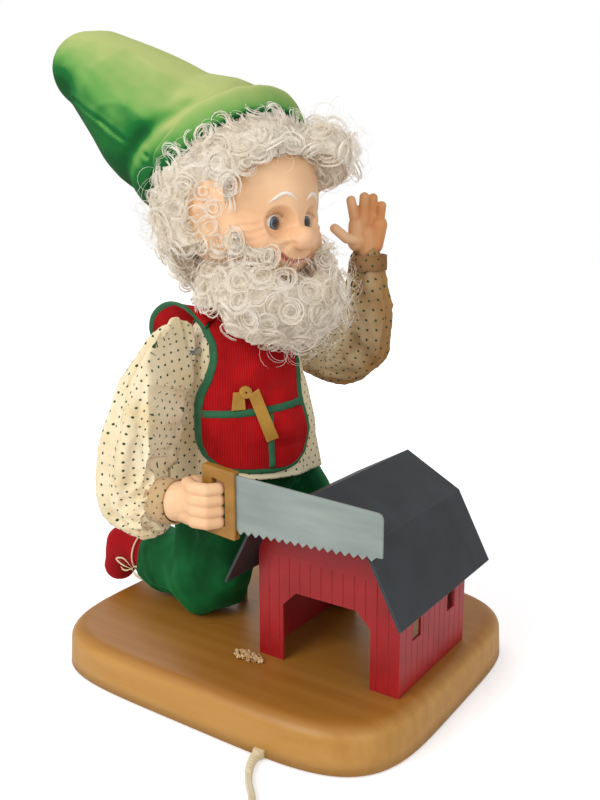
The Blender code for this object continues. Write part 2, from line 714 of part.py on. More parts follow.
def make_trousers():
    """Velvet trousers: kneeling right leg, raised left leg and seat, resting on the base."""
    right = [((-0.054, -0.022, 0.176), 0.033), ((-0.062, -0.030, 0.125), 0.036),
             ((-0.070, -0.033, 0.079), 0.039), ((-0.110, -0.031, 0.075), 0.031),
             ((-0.150, -0.027, 0.073), 0.023), ((-0.176, -0.025, 0.073), 0.021)]
    left = [((-0.050, 0.022, 0.172), 0.034), ((-0.030, 0.042, 0.158), 0.031),
            ((-0.012, 0.050, 0.139), 0.027),
            ((-0.018, 0.051, 0.110), 0.020), ((-0.021, 0.052, 0.070), 0.019)]
    seat = [((-0.038, 0.000, 0.178), 0.044), ((-0.062, 0.000, 0.180), 0.044)]
    trousers = stuffed("trousers", [right, left, seat], 900, voxel=0.005)
    low = box("floor", (-0.3, -0.2, -0.1), (0.2, 0.2, BASE_TOP + GAP))
    high = box("waist", (-0.3, -0.2, TORSO_BOTTOM - GAP), (0.2, 0.2, 0.4))
    ankle = box("ankle", (-0.3, -0.1, 0), (-ANKLE_REACH, 0.1, 0.2))
    left_ankle = box("left_ankle", (-0.06, 0.02, 0), (0.03, 0.1, LEFT_ANKLE_Z))
    post = rod("post_bore", (SHAFT_X, 0, 0), (SHAFT_X, 0, 0.3), POST_RADIUS + GAP)
    return cut(trousers, low, high, ankle, left_ankle, post)


def make_boot_right():
    """Felt boot of the kneeling leg: it hangs over the base's edge with its toe down."""
    heel = (-0.188, -0.025, 0.075)
    boot = stuffed("boot_right", [[((-0.174, -0.025, 0.073), 0.019), (heel, 0.018),
                                   ((-0.196, -0.024, 0.054), 0.016)]],
                   280, voxel=0.003, smoothing=3)
    return cut(boot, box("top", (-ANKLE_REACH - GAP, -0.1, 0), (-0.1, 0.1, 0.2)))


def make_boot_left():
    """Felt boot of the raised leg, flat on the base beside the barn."""
    boot = stuffed("boot_left", [[((-0.022, 0.052, 0.075), 0.018), ((-0.024, 0.052, 0.055), 0.019),
                                  ((0.002, 0.052, 0.048), 0.0135)]], 280, voxel=0.003, smoothing=3)
    return cut(boot, box("sole", (-0.1, 0, 0), (0.1, 0.1, BASE_TOP + GAP)),
               box("top", (-0.1, 0, LEFT_ANKLE_Z - GAP), (0.1, 0.1, 0.2)))


def make_body_post():
    """Steel post that carries the figure, flanged under the base's top."""
    top = TORSO_BOTTOM + 0.0040 - GAP
    under = BASE_TOP - BASE_WALL - GAP
    profile = [(0, top), (POST_RADIUS, top), (POST_RADIUS, under), (POST_FLANGE_RADIUS, under),
               (POST_FLANGE_RADIUS, under - 0.0020), (0, under - 0.0020)]
    return turned("body_post", profile, Matrix.Translation((SHAFT_X, 0, 0)), sides=16)


def make_chassis():
    """Folded sheet-steel frame: floor, two cheeks for the shoulder shaft and a bridge for the neck."""
    bottom, top, side = TORSO_BOTTOM + 0.0040, CHASSIS_TOP, CHASSIS_HALF_WIDTH
    wall = CHASSIS_WALL
    outer = [(-side, bottom), (side, bottom), (side, top), (-side, top)]
    inner = [(-side + wall, bottom + wall), (side - wall, bottom + wall), (side - wall, top - wall),
             (-side + wall, top - wall)]
    across = Matrix.Translation((SHAFT_X, 0, 0)) @ Matrix(((0, 0, 1, 0), (1, 0, 0, 0), (0, 1, 0, 0),
                                                           (0, 0, 0, 1)))
    frame = plate("chassis", [outer, inner], 0.20, across)
    front, back, neck = SHAFT_X + 0.0440, SHAFT_X - 0.0200, 0.0110
    flank = [(back, bottom - 0.01), (front, bottom - 0.01), (front, CRANK_Z + 0.022),
             (SHAFT_X + neck, SHAFT_Z),
             (SHAFT_X + neck, top + 0.01), (SHAFT_X - neck, top + 0.01), (SHAFT_X - neck, SHAFT_Z),
             (back, CRANK_Z + 0.022)]
    frame = combined(frame, plate("flank", [flank], 0.10, in_xz(0)), "INTERSECT")
    bores = [rod("shaft_bore", (SHAFT_X, -0.05, SHAFT_Z), (SHAFT_X, 0.05, SHAFT_Z), BUSH_RADIUS + GAP),
             rod("neck_bore", (SHAFT_X, 0, top - 0.01), (SHAFT_X, 0, top + 0.01), BUSH_RADIUS + GAP)]
    return cut(frame, *bores)


def make_bush(name, place, length):
    """Flanged plastic bush: the flange sits against the sheet, the shaft runs in its bore."""
    bore = SHAFT_RADIUS + RUNNING_GAP
    rim = 0.0015
    profile = [(bore, rim), (BUSH_FLANGE, rim), (BUSH_FLANGE, GAP), (BUSH_RADIUS, GAP),
               (BUSH_RADIUS, -length),
               (bore, -length)]
    return turned(name, profile, place, sides=16, hollow=True)


def make_shoulder_bush(side, name):
    turn = Matrix.Rotation(math.radians(-90 * side), 4, "X")
    return make_bush(name, Matrix.Translation((SHAFT_X, side * CHASSIS_HALF_WIDTH, SHAFT_Z)) @ turn,
                     CHASSIS_WALL + 0.0010)


def motor_y():
    """Y of the motor can's back, gearbox front and the parts in front of it."""
    back = -CHASSIS_HALF_WIDTH + CHASSIS_WALL + GAP
    gearbox_back = back + MOTOR_CAN_LENGTH + GAP
    gearbox_front = gearbox_back + GEARBOX_LENGTH
    return back, gearbox_back, gearbox_front


def crank_x():
    return SHAFT_X + LEVER_LENGTH


def make_motor_can():
    back, gearbox_back, _ = motor_y()
    top = gearbox_back - GAP
    profile = [(0, top), (MOTOR_CAN_RADIUS - 0.001, top), (MOTOR_CAN_RADIUS, top - 0.001),
               (MOTOR_CAN_RADIUS, back + 0.001), (MOTOR_CAN_RADIUS - 0.001, back), (0, back)]
    return turned("motor_can", profile, along_y(crank_x(), CRANK_Z), sides=24)


def make_gearbox():
    """Round gearbox with a raised boss round its output shaft."""
    _, back, front = motor_y()
    bore = SHAFT_RADIUS + RUNNING_GAP
    profile = [(0, back + 0.0035), (bore, back + 0.0035), (bore, front), (0.0060, front),
               (0.0060, front - 0.0015),
               (GEARBOX_RADIUS - 0.001, front - 0.0015), (GEARBOX_RADIUS, front - 0.0025),
               (GEARBOX_RADIUS, back + 0.001), (GEARBOX_RADIUS - 0.001, back), (0, back)]
    return turned("gearbox", profile, along_y(crank_x(), CRANK_Z), sides=20)


def make_output_shaft():
    _, back, front = motor_y()
    low = back + 0.0035 + GAP
    return rod("output_shaft", (crank_x(), low, CRANK_Z), (crank_x(), front + 2 * GAP, CRANK_Z),
               SHAFT_RADIUS)


def rod_plane():
    """Y of the crank disc's near face, the crank pin's end and the connecting rod's near face."""
    disc = motor_y()[2] + 3 * GAP
    pin_end = disc + CRANK_THICKNESS + 0.0024
    return disc, pin_end, pin_end + OPEN_PIVOT_GAP


def make_crank_disc():
    """Crank on the gearbox's output shaft; its short pin faces the connecting rod's open end."""
    disc, pin_end, _ = rod_plane()
    body = rod("crank_disc", (crank_x(), disc, CRANK_Z), (crank_x(), disc + CRANK_THICKNESS, CRANK_Z),
               CRANK_RADIUS, 24)
    pin_x = crank_x() + CRANK_THROW
    return joined(body, rod("pin", (pin_x, disc + 0.001, CRANK_Z), (pin_x, pin_end, CRANK_Z),
                            PIN_RADIUS, 12))


def make_connecting_rod():
    """Flat link from the shoulder lever down to the crank."""
    _, _, near = rod_plane()
    upper = (crank_x(), SHAFT_Z)
    lower = (crank_x() + CRANK_THROW, CRANK_Z)
    bore = PIN_RADIUS + RUNNING_GAP
    outlines = [link_outline(upper, lower, 0.0040, 0.0040), circle(*upper, bore, 12),
                circle(*lower, bore, 12)]
    return plate("connecting_rod", outlines, LEVER_THICKNESS, in_xz(near + LEVER_THICKNESS / 2))


def lever_y():
    return rod_plane()[2] + LEVER_THICKNESS + 2 * GAP


def make_shoulder_lever():
    """Lever on the shoulder shaft; its pin carries the connecting rod's upper eye."""
    near = lever_y()
    hub, tip = (SHAFT_X, SHAFT_Z), (crank_x(), SHAFT_Z)
    outlines = [link_outline(hub, tip, 0.0075, 0.0045), circle(*hub, SHAFT_RADIUS + GAP)]
    lever = plate("shoulder_lever", outlines, LEVER_THICKNESS, in_xz(near + LEVER_THICKNESS / 2))
    pin = rod("pin", (tip[0], near - LEVER_THICKNESS - 2 * GAP, tip[1]), (tip[0], near + 0.001, tip[1]),
              PIN_RADIUS, 12)
    return joined(lever, pin)


def make_shoulder_shaft():
    """Cross shaft that carries both arms."""
    reach = ARM_PLANE + 0.0030
    return rod("shoulder_shaft", (SHAFT_X, -reach, SHAFT_Z), (SHAFT_X, reach, SHAFT_Z), SHAFT_RADIUS)


def make_head_drive_pin():
    """Collar on the shoulder shaft with an upright pin that moves the head's fork."""
    y = HEAD_PIN_OFFSET
    bore = SHAFT_RADIUS + GAP
    profile = [(bore, y + 0.003), (0.0060, y + 0.003), (0.0060, y - 0.003), (bore, y - 0.003)]
    collar = turned("head_drive_pin", profile, along_y(SHAFT_X, SHAFT_Z), sides=16, hollow=True)
    pin = rod("pin", (SHAFT_X, y, SHAFT_Z + 0.0045), (SHAFT_X, y, SHAFT_Z + FORK_LIFT + FORK_THICKNESS),
              PIN_RADIUS, 12)
    return joined(collar, pin)


def make_head_fork():
    """Forked lever on the neck shaft; the drive pin runs in its slot."""
    z = SHAFT_Z + FORK_LIFT
    place = Matrix.Translation((SHAFT_X, 0, z))
    end = HEAD_PIN_OFFSET + 0.0045
    body = plate("head_fork", [link_outline((0, 0), (0, end), 0.0060, 0.0045),
                               circle(0, 0, SHAFT_RADIUS + GAP)],
                 FORK_THICKNESS, place)
    half = PIN_RADIUS + 0.0004
    slot = box("slot", (SHAFT_X - half, HEAD_PIN_OFFSET - 0.0035, z - 0.01),
               (SHAFT_X + half, end + 0.02, z + 0.01))
    return cut(body, slot)


def make_neck_shaft():
    low = SHAFT_Z + FORK_LIFT - FORK_THICKNESS / 2 - 0.0015
    return rod("neck_shaft", (SHAFT_X, 0, low), (SHAFT_X, 0, NECK_SHAFT_TOP), SHAFT_RADIUS)


def make_neck_plate():
    """Disc that closes the head's neck and clamps it on the neck shaft."""
    bore = SHAFT_RADIUS + GAP
    rim = NECK_RADIUS - HEAD_WALL - GAP
    profile = [(bore, 0.0060), (0.0070, 0.0060), (0.0070, 0.0030), (rim, 0.0030), (rim, 0.0), (bore, 0.0)]
    return turned("neck_plate", profile, Matrix.Translation((SHAFT_X, 0, NECK_PLATE_Z)), sides=24,
                  hollow=True)


RIGHT_SLEEVE = [((-0.054, -0.066, 0.292), 0.029), ((-0.066, -0.083, 0.293), 0.031),
                ((-0.079, -0.095, 0.257), 0.035), ((-0.086, -0.105, 0.212), 0.038),
                ((-0.090, -0.108, 0.174), 0.034), ((-0.076, -0.110, 0.162), 0.028),
                ((-0.062, -0.110, 0.168), 0.020), ((-0.048, -0.110, 0.172), 0.0165)]
LEFT_SLEEVE = [((-0.054, 0.066, 0.292), 0.027), ((-0.030, 0.078, 0.290), 0.030),
               ((0.004, 0.088, 0.278), 0.031), ((0.024, 0.090, 0.290), 0.028),
               ((0.032, 0.090, 0.322), 0.024), ((0.034, 0.088, 0.350), 0.018),
               ((0.033, 0.087, 0.367), 0.0155)]
SLEEVE_WALL = 0.0030


def make_sleeve(name, chain, side):
    """Full sleeve, hollow for the arm wire, flat at the shoulder where it clears the body."""
    sleeve = stuffed(name, [chain], 420, voxel=0.005)
    wrist, before = Vector(chain[-1][0]), Vector(chain[-2][0])
    beyond = wrist + (wrist - before).normalized() * 0.020
    hollow = chain[:-1] + [(chain[-1][0], chain[-1][1]), (tuple(beyond), chain[-1][1])]
    inside = stuffed(name + "_inside", [hollow], 180, voxel=0.005, grow=-SLEEVE_WALL)
    body_side = box("body_side", (-0.2, min(side * ARM_PLANE, -side * 0.1), 0.1),
                    (0.2, max(side * ARM_PLANE, -side * 0.1), 0.5))
    stub = rod("wrist_end", wrist + (wrist - before).normalized() * 0.004,
               wrist + (wrist - before).normalized() * 0.030, 0.040)
    return cut(sleeve, inside, body_side, stub)


def arm_route(side):
    """Centre line of an arm wire from the end of the shoulder shaft to inside the hand."""
    start = Vector((SHAFT_X, side * (ARM_PLANE + 0.0030 + GAP), SHAFT_Z))
    if side < 0:
        middle = [(-0.068, -0.086, 0.280), (-0.084, -0.100, 0.240), (-0.086, -0.106, 0.190),
                  (-0.072, -0.110, 0.170)]
        end = [(-0.048, -0.110, 0.172), (-0.030, -0.110, 0.175)]
    else:
        middle = [(-0.030, 0.080, 0.290), (0.000, 0.087, 0.282), (0.022, 0.089, 0.296),
                  (0.031, 0.089, 0.325)]
        end = [(0.033, 0.087, 0.362), (0.033, 0.086, 0.380)]
    lead = start + Vector((0, side * 0.004, 0))
    return [start, *eased([lead, *middle, *end], 4)]


def make_arm_wire(name, side):
    return tube(name, arm_route(side), ARM_ROD_RADIUS, 1)


def finger(points, radius):
    return [(p, radius) for p in points]


def make_hand_right():
    """Moulded fist closed round the saw's grip."""
    palm = [((-0.050, -0.110, 0.172), 0.0095), ((-0.032, -0.110, 0.175), 0.0140),
            ((-0.018, -0.109, 0.178), 0.0160)]
    heel = [((-0.032, -0.110, 0.171), 0.0130), ((-0.018, -0.110, 0.170), 0.0140),
            ((-0.016, -0.109, 0.186), 0.0130)]
    chains = [palm, heel]
    for i in range(4):
        z = 0.1935 - 0.0093 * i
        chains.append(finger([(-0.018, -0.116, z), (-0.006, -0.1225, z), (0.006, -0.1210, z),
                              (0.0115, -0.113, z)], 0.0056))
    chains.append(finger([(-0.022, -0.100, 0.186), (-0.008, -0.0965, 0.190), (0.006, -0.0975, 0.191)],
                         0.0058))
    hand = stuffed("hand_right", chains, 480, voxel=0.0016, smoothing=3)
    grip = handle_solid("grip_space", 2 * GAP)
    wire = tube("wire_bore", arm_route(-1), ARM_ROD_RADIUS + GAP, 1)
    return cut(hand, grip, wire)


def make_hand_left():
    """Moulded open hand, palm to the front, raised to the brow."""
    out = Vector((0.5606, -0.828, 0))
    across = Vector((0.828, 0.5606, 0))
    base = Vector((0.030, 0.0842, 0.372))

    def at(x, z, y=0.0):
        return tuple(base + across * x + out * y + Vector((0, 0, z)))

    chains = [[(at(0.0030, -0.010), 0.0092), (at(0.003, 0.004), 0.0095), (at(0.002, 0.018), 0.0100)],
              [(at(-0.008, 0.010), 0.0085), (at(-0.008, 0.026), 0.0080)],
              [(at(0.008, 0.008), 0.0085), (at(0.012, 0.026), 0.0080)]]
    for i, (root, tip, height) in enumerate(((-0.009, -0.014, 0.048), (-0.002, -0.002, 0.051),
                                             (0.005, 0.006, 0.050), (0.012, 0.014, 0.043))):
        chains.append(finger([at(root, 0.026), at((root + tip) / 2, height * 0.78, -0.001),
                              at(tip, height, 0.004)], 0.0047))
    chains.append(finger([at(-0.006, 0.012, 0.004), at(-0.018, 0.014, 0.009),
                          at(-0.029, 0.023, 0.014)], 0.0048))
    hand = stuffed("hand_left", chains, 520, voxel=0.0016, smoothing=3)
    return cut(hand, tube("wire_bore", arm_route(1), ARM_ROD_RADIUS + GAP, 1))


def handle_outline(grow):
    """Rim and finger hole of the saw's handle in the XZ plane."""
    left, right = BLADE_LEFT - HANDLE_WIDTH, BLADE_LEFT
    low, high = BLADE_MIDDLE_Z - HANDLE_HEIGHT / 2, BLADE_MIDDLE_Z + HANDLE_HEIGHT / 2
    lean = 0.0030
    rim = [(left - grow, low - grow + lean), (right + grow, low - grow),
           (right + grow, high + grow - lean),
           (left - grow, high + grow)]
    bar = HANDLE_BAR + grow
    hole = [(left + bar, low + bar + lean), (right - bar, low + bar), (right - bar, high - bar - lean),
            (left + bar, high - bar)]
    return [rim, hole]


def handle_solid(name, grow):
    return plate(name, handle_outline(grow), HANDLE_THICKNESS + 2 * grow, in_xz(SAW_Y))


def make_saw_handle():
    """Closed wooden-style grip with a slot that the blade is fixed in."""
    handle = handle_solid("saw_handle", 0.0)
    soften = handle.modifiers.new("edges", "BEVEL")
    soften.width = 0.0010
    soften.segments = 1
    handle = frozen(handle)
    slot = box("blade_slot", (BLADE_LEFT - BLADE_TENON - GAP, SAW_Y - BLADE_THICKNESS / 2 - GAP, 0.140),
               (BLADE_LEFT + 0.01, SAW_Y + BLADE_THICKNESS / 2 + GAP, blade_top() + GAP))
    return cut(handle, slot)


def blade_top():
    return BLADE_MIDDLE_Z + BLADE_HEEL_HEIGHT / 2


def make_saw_blade():
    """Flat blade, tapered to a rounded toe, with a row of even teeth below."""
    heel, toe = BLADE_LEFT, BLADE_LEFT + BLADE_LENGTH
    low = BLADE_MIDDLE_Z - BLADE_HEEL_HEIGHT / 2
    toe_low = BLADE_MIDDLE_Z - BLADE_TIP_HEIGHT / 2
    toe_top = BLADE_MIDDLE_Z + BLADE_TIP_HEIGHT / 2
    outline = [(heel - BLADE_TENON, low + TOOTH_DEPTH), (heel, low + TOOTH_DEPTH)]
    teeth = max(3, round((BLADE_LENGTH - 0.005) / TOOTH_PITCH))
    pitch = (BLADE_LENGTH - 0.005) / teeth
    for i in range(teeth):
        x = (i + 0.5) * pitch
        for along, up in ((x, 0.0), (x + pitch / 2, TOOTH_DEPTH)):
            outline.append((heel + along, low + up + (toe_low - low) * along / BLADE_LENGTH))
    outline += [(toe, toe_low + TOOTH_DEPTH), (toe, toe_top - 0.004), (toe - 0.0012, toe_top - 0.0012),
                (toe - 0.004, toe_top), (heel, blade_top()), (heel - BLADE_TENON, blade_top())]
    return stamped("saw_blade", outline, BLADE_THICKNESS, in_xz(SAW_Y))


BUMPS = [((0.0740, 0.000, 0.4290), 0.0080, 0.0200), ((0.0700, 0.000, 0.3880), 0.0100, 0.0150),
         ((0.0600, 0.000, 0.3720), 0.0100, 0.0140), ((0.0520, 0.000, 0.3520), 0.0060, 0.0140),
         ((0.0560, 0.034, 0.3840), 0.0065, 0.0150), ((0.0560, -0.034, 0.3840), 0.0065, 0.0150),
         ((0.0660, 0.020, 0.4020), -0.0075, 0.0120), ((0.0660, -0.020, 0.4020), -0.0075, 0.0120)]


def head_solid(name, grow, around=26, rings=18):
    """Outside of the head: an egg with a bulbous nose, full cheeks and eye hollows, on a round neck."""
    bm = bmesh.new()
    bmesh.ops.create_uvsphere(bm, u_segments=around, v_segments=rings, radius=1)
    bmesh.ops.rotate(bm, matrix=Matrix.Rotation(math.radians(90), 3, "Y"), verts=bm.verts)
    centre = Vector(SKULL_CENTRE)
    for vert in bm.verts:
        direction = vert.co.copy()
        point = centre + Vector([direction[i] * (SKULL_RADII[i] + grow) for i in range(3)])
        for place, height, width in BUMPS:
            distance = (point - Vector(place)).length
            point += direction.normalized() * height * math.exp(-(distance / width) ** 2 / 2)
        vert.co = point
    bmesh.ops.transform(bm, matrix=HEAD_TURN, verts=bm.verts)
    skull = from_bmesh(name, bm)
    neck = rod("neck", (SHAFT_X, 0, NECK_BOTTOM - grow), (SHAFT_X, 0, NECK_BOTTOM + 0.040),
               NECK_RADIUS + grow, 24)
    return joined(skull, neck, ball("nose", NOSE_CENTRE, NOSE_RADII, 16, 10, grow=grow, turn=HEAD_TURN))


def make_head_shell():
    """Hollow vinyl head, open at the neck, with a round opening for each eye."""
    shell = head_solid("head_shell", 0.0)
    inside = head_solid("inside", -HEAD_WALL)
    bore = rod("neck_bore", (SHAFT_X, 0, NECK_BOTTOM - 0.01), (SHAFT_X, 0, NECK_BOTTOM + 0.035),
               NECK_RADIUS - HEAD_WALL, 24)
    eyes = [ball("eye_space", (EYE_CENTRE[0], side * EYE_CENTRE[1], EYE_CENTRE[2]), [EYE_RADIUS] * 3, 16,
                 10,
                 grow=GAP * 2, turn=HEAD_TURN) for side in (-1, 1)]
    return cut(shell, inside, bore, *eyes)


def make_eye(name, side):
    return ball(name, (EYE_CENTRE[0], side * EYE_CENTRE[1], EYE_CENTRE[2]), [EYE_RADIUS] * 3, 14, 8,
                turn=HEAD_TURN)


def hat_tilt():
    """Turn of the hat's mouth, which leans back."""
    return Matrix.Rotation(-HAT_TILT, 4, "Y")


def slab(name, tilt, centre, below):
    """Half-space cutter: everything below (or above) a plane through a head point, turned by a matrix."""
    low, high = ((-0.3, -0.3, -0.3), (0.3, 0.3, 0.0)) if below else ((-0.3, -0.3, 0.0), (0.3, 0.3, 0.3))
    cutter = box(name, low, high)
    cutter.matrix_world = HEAD_TURN @ Matrix.Translation(centre) @ tilt
    return frozen(cutter)


HAT_CHAIN = [((-0.0180, 0.000, 0.4570), 0.0690), ((-0.0480, -0.008, 0.4670), 0.0640),
             ((-0.0720, -0.024, 0.4900), 0.0565), ((-0.1010, -0.040, 0.5150), 0.0470),
             ((-0.1210, -0.052, 0.5320), 0.0390), ((-0.1360, -0.060, 0.5370), 0.0335)]


def hat_solid(name, grow, faces):
    chain = [(tuple(HEAD_TURN @ Vector(p)), r) for p, r in HAT_CHAIN]
    return stuffed(name, [chain], faces, voxel=0.006, grow=grow)


def make_hat():
    """Tall felt hat that leans back, cut open where it sits on the head."""
    hat = hat_solid("hat", 0.0, 640)
    return cut(hat, slab("mouth", hat_tilt(), HAT_MOUTH, below=True), head_solid("head_space", GAP))


def cuff_solid(name, grow):
    """Rolled edge round the hat's mouth."""
    turns = [2 * math.pi * i / 8 for i in range(8)]
    roll = CUFF_ROLL_RADIUS + grow
    profile = [(CUFF_RADIUS + roll * math.cos(t), roll * math.sin(t)) for t in turns]
    place = HEAD_TURN @ Matrix.Translation(HAT_MOUTH) @ hat_tilt()
    return turned(name, profile, place, sides=28, hollow=True)


def make_hat_cuff():
    return cut(cuff_solid("hat_cuff", 0.0), hat_solid("hat_space", GAP * 3, 640),
               head_solid("head_space", GAP))


def make_wig():
    """Mass of curls round the skull, open at the face and under the hat."""
    wig = ball("wig", WIG_CENTRE, WIG_RADII, 20, 14, turn=HEAD_TURN)
    wig = joined(wig, ball("fringe", FRINGE_CENTRE, [FRINGE_RADIUS] * 3, 16, 10, turn=HEAD_TURN))
    face = ball("face_opening", FACE_OPENING_CENTRE, FACE_OPENING_RADII, 16, 10, turn=HEAD_TURN)
    cheek = ball("cheek_opening", CHEEK_OPENING_CENTRE, CHEEK_OPENING_RADII, 16, 10, turn=HEAD_TURN)
    low = slab("nape", Matrix(), (0, 0, WIG_BOTTOM), below=True)
    jaw = box("jaw_space", (WIG_JAW_X, -0.2, 0.2), (0.2, 0.2, BEARD_TOP))
    jaw.matrix_world = HEAD_TURN
    hat = hat_solid("hat_space", GAP * 3, 640)
    above = slab("above_cuff", hat_tilt(), HAT_MOUTH, below=False)
    wig = cut(wig, low, frozen(jaw), beard_solid("beard_space", GAP), face, cheek,
              head_solid("head_space", GAP), cuff_solid("cuff_space", GAP), hat)
    return cut(wig, above)


def beard_solid(name, grow):
    beard = ball(name, BEARD_CENTRE, BEARD_RADII, 22, 14, grow=grow, turn=HEAD_TURN)
    return cut(beard, slab("jaw_line", Matrix(), (0, 0, BEARD_TOP - GAP + grow), below=False))


def make_beard():
    """Full beard below the cheeks, hollowed round the neck so that it clears the chest as the head turns."""
    chest = rod("chest_space", (SHAFT_X, 0, 0.2), (SHAFT_X, 0, BEARD_CLEARANCE_TOP),
                BEARD_CLEARANCE_RADIUS, 32)
    neck = rod("neck_space", (SHAFT_X, 0, 0.2), (SHAFT_X, 0, 0.36), NECK_RADIUS + GAP, 24)
    shoulders = box("shoulder_space", (-0.1, -0.1, 0.2), (BEARD_SHOULDER_X, 0.1, BEARD_SHOULDER_Z))
    shoulders.matrix_world = HEAD_TURN
    return cut(beard_solid("beard", 0.0), head_solid("head_space", GAP), chest, neck, frozen(shoulders))


# Places along the free cord: x, distance out from the side of the base, z
CORD_ROUTE = [(0.0790, 0.0026, 0.0042), (0.0794, 0.0076, 0.0038), (0.0840, 0.0186, 0.0030),
              (0.0935, 0.0316, 0.0030), (0.1052, 0.0433, 0.0030), (0.1140, 0.0576, 0.0033),
              (0.1160, 0.0716, 0.0037)]


def coil_point(turn, radius, z):
    return Vector((COIL_CENTRE[0] + radius * math.cos(turn), COIL_CENTRE[1] + radius * math.sin(turn), z))


def smoothstep(t):
    t = min(1.0, max(0.0, t))
    return t * t * (3 - 2 * t)


def coil_route(points_per_turn=16):
    """Coil in two layers: it spirals in, climbs, spirals out, then rises inwards to the plug on top."""
    z_low = COIL_BOTTOM + CORD_RADIUS
    outer = COIL_INNER + COIL_PITCH * COIL_TURNS_PER_LAYER
    turns = 2 * COIL_TURNS_PER_LAYER
    route = []
    for i in range(turns * points_per_turn + 1):
        t = i / points_per_turn
        radius = COIL_INNER + COIL_PITCH * abs(COIL_TURNS_PER_LAYER - t)
        climb = smoothstep(2 * (t - COIL_TURNS_PER_LAYER) + 0.5)
        route.append(coil_point(COIL_START + 2 * math.pi * t, radius, z_low + COIL_LAYER_RISE * climb))
    tail = points_per_turn // 3
    top = z_low + COIL_LAYER_RISE + CORD_RADIUS + PLUG_BODY[2] / 2 + 2 * GAP
    for i in range(1, tail + 1):
        t = i / tail
        radius = outer + COIL_PITCH * i / points_per_turn - 0.0130 * smoothstep(2 * t - 1)
        z = z_low + COIL_LAYER_RISE + (top - z_low - COIL_LAYER_RISE) * smoothstep(1.25 * t)
        route.append(coil_point(COIL_START + 2 * math.pi * i / points_per_turn, radius, z))
    lead_in = (route[0] - route[1]).normalized() * 2 * CORD_RADIUS
    heading = route[-1] - route[-2]
    heading.z = 0
    return [route[0] + lead_in, *route, route[-1] + heading.normalized() * 2 * CORD_RADIUS]


def least_self_gap(route, radius):
    """Smallest clearance between stretches of a tube that are not neighbours along it."""
    apart = 4 * radius
    lengths = [0.0]
    for a, b in zip(route, route[1:]):
        lengths.append(lengths[-1] + (b - a).length)
    least = 1.0
    for i, a in enumerate(route):
        for j in range(i + 1, len(route)):
            if lengths[j] - lengths[i] > apart * 2:
                least = min(least, (route[j] - a).length - 2 * radius)
    return least, lengths[-1]


def make_power_cord_coil():
    route = coil_route()
    gap, length = least_self_gap(route, CORD_RADIUS)
    print(f"coil: least gap to itself {gap * 1000:.2f} mm, length {length * 1000:.0f} mm")
    return tube("power_cord_coil", route, CORD_RADIUS, 1)


def make_power_cord():
    """Free stretch of the cord, from the strain relief to the coil."""
    coil = coil_route()
    inward = (coil[1] - coil[0]).normalized()
    end = coil[0] - inward * GAP
    led_out = [(x, -BASE_WIDTH / 2 - out, z) for x, out, z in CORD_ROUTE]
    route = eased([*led_out, end - inward * 0.006, end], 2)
    return tube("power_cord", route, CORD_RADIUS, 2)


def make_cord_tie():
    """Band round the coil's turns."""
    inner = COIL_INNER - CORD_RADIUS - 2 * GAP
    outer = COIL_INNER + COIL_PITCH * COIL_TURNS_PER_LAYER + CORD_RADIUS + 2 * GAP
    low = COIL_BOTTOM - 2 * GAP
    high = COIL_BOTTOM + 2 * CORD_RADIUS + COIL_LAYER_RISE + 2 * GAP
    w = TIE_WALL
    hole = [(inner, low), (outer, low), (outer, high), (inner, high)]
    rim = [(inner - w, low - w + 0.0001), (outer + w, low - w + 0.0001), (outer + w, high + w),
           (inner - w, high + w)]
    place = (Matrix.Translation((*COIL_CENTRE, 0)) @ Matrix.Rotation(TIE_ANGLE, 4, "Z")
             @ Matrix.Rotation(math.radians(90), 4, "X"))
    return plate("cord_tie", [rim, hole], TIE_WIDTH, place)


def make_plug():
    """Two-blade plug that lies on the coil."""
    route = coil_route()
    end = route[-1]
    heading = math.atan2((route[-1] - route[-2]).y, (route[-1] - route[-2]).x)
    length, width, height = PLUG_BODY
    blade, thin, wide = PLUG_BLADE
    body = box("plug", (GAP, -width / 2, -height / 2), (GAP + length, width / 2, height / 2),
               bevel=0.0025)
    for side in (-1, 1):
        y = side * PLUG_BLADE_SPACING / 2
        body = joined(body, box("blade", (length - 0.002, y - thin / 2, -wide / 2),
                                (length + blade, y + thin / 2, wide / 2)))
    body.matrix_world = Matrix.Translation(end) @ Matrix.Rotation(heading, 4, "Z")
    return frozen(body)


# Joint axes; each moving part hangs from the empty on its own axis
AXES = {"arms": (SHAFT_X, 0, SHAFT_Z), "head": (SHAFT_X, 0, SHAFT_Z + FORK_LIFT),
        "crank": (crank_x(), motor_y()[2], CRANK_Z), "link": (crank_x(), lever_y(), SHAFT_Z)}

GREEN, RED, CREAM, SKIN, STEEL = "0C5A2C", "B01318", "F3E3BE", "E8BC94", "A9ADB0"


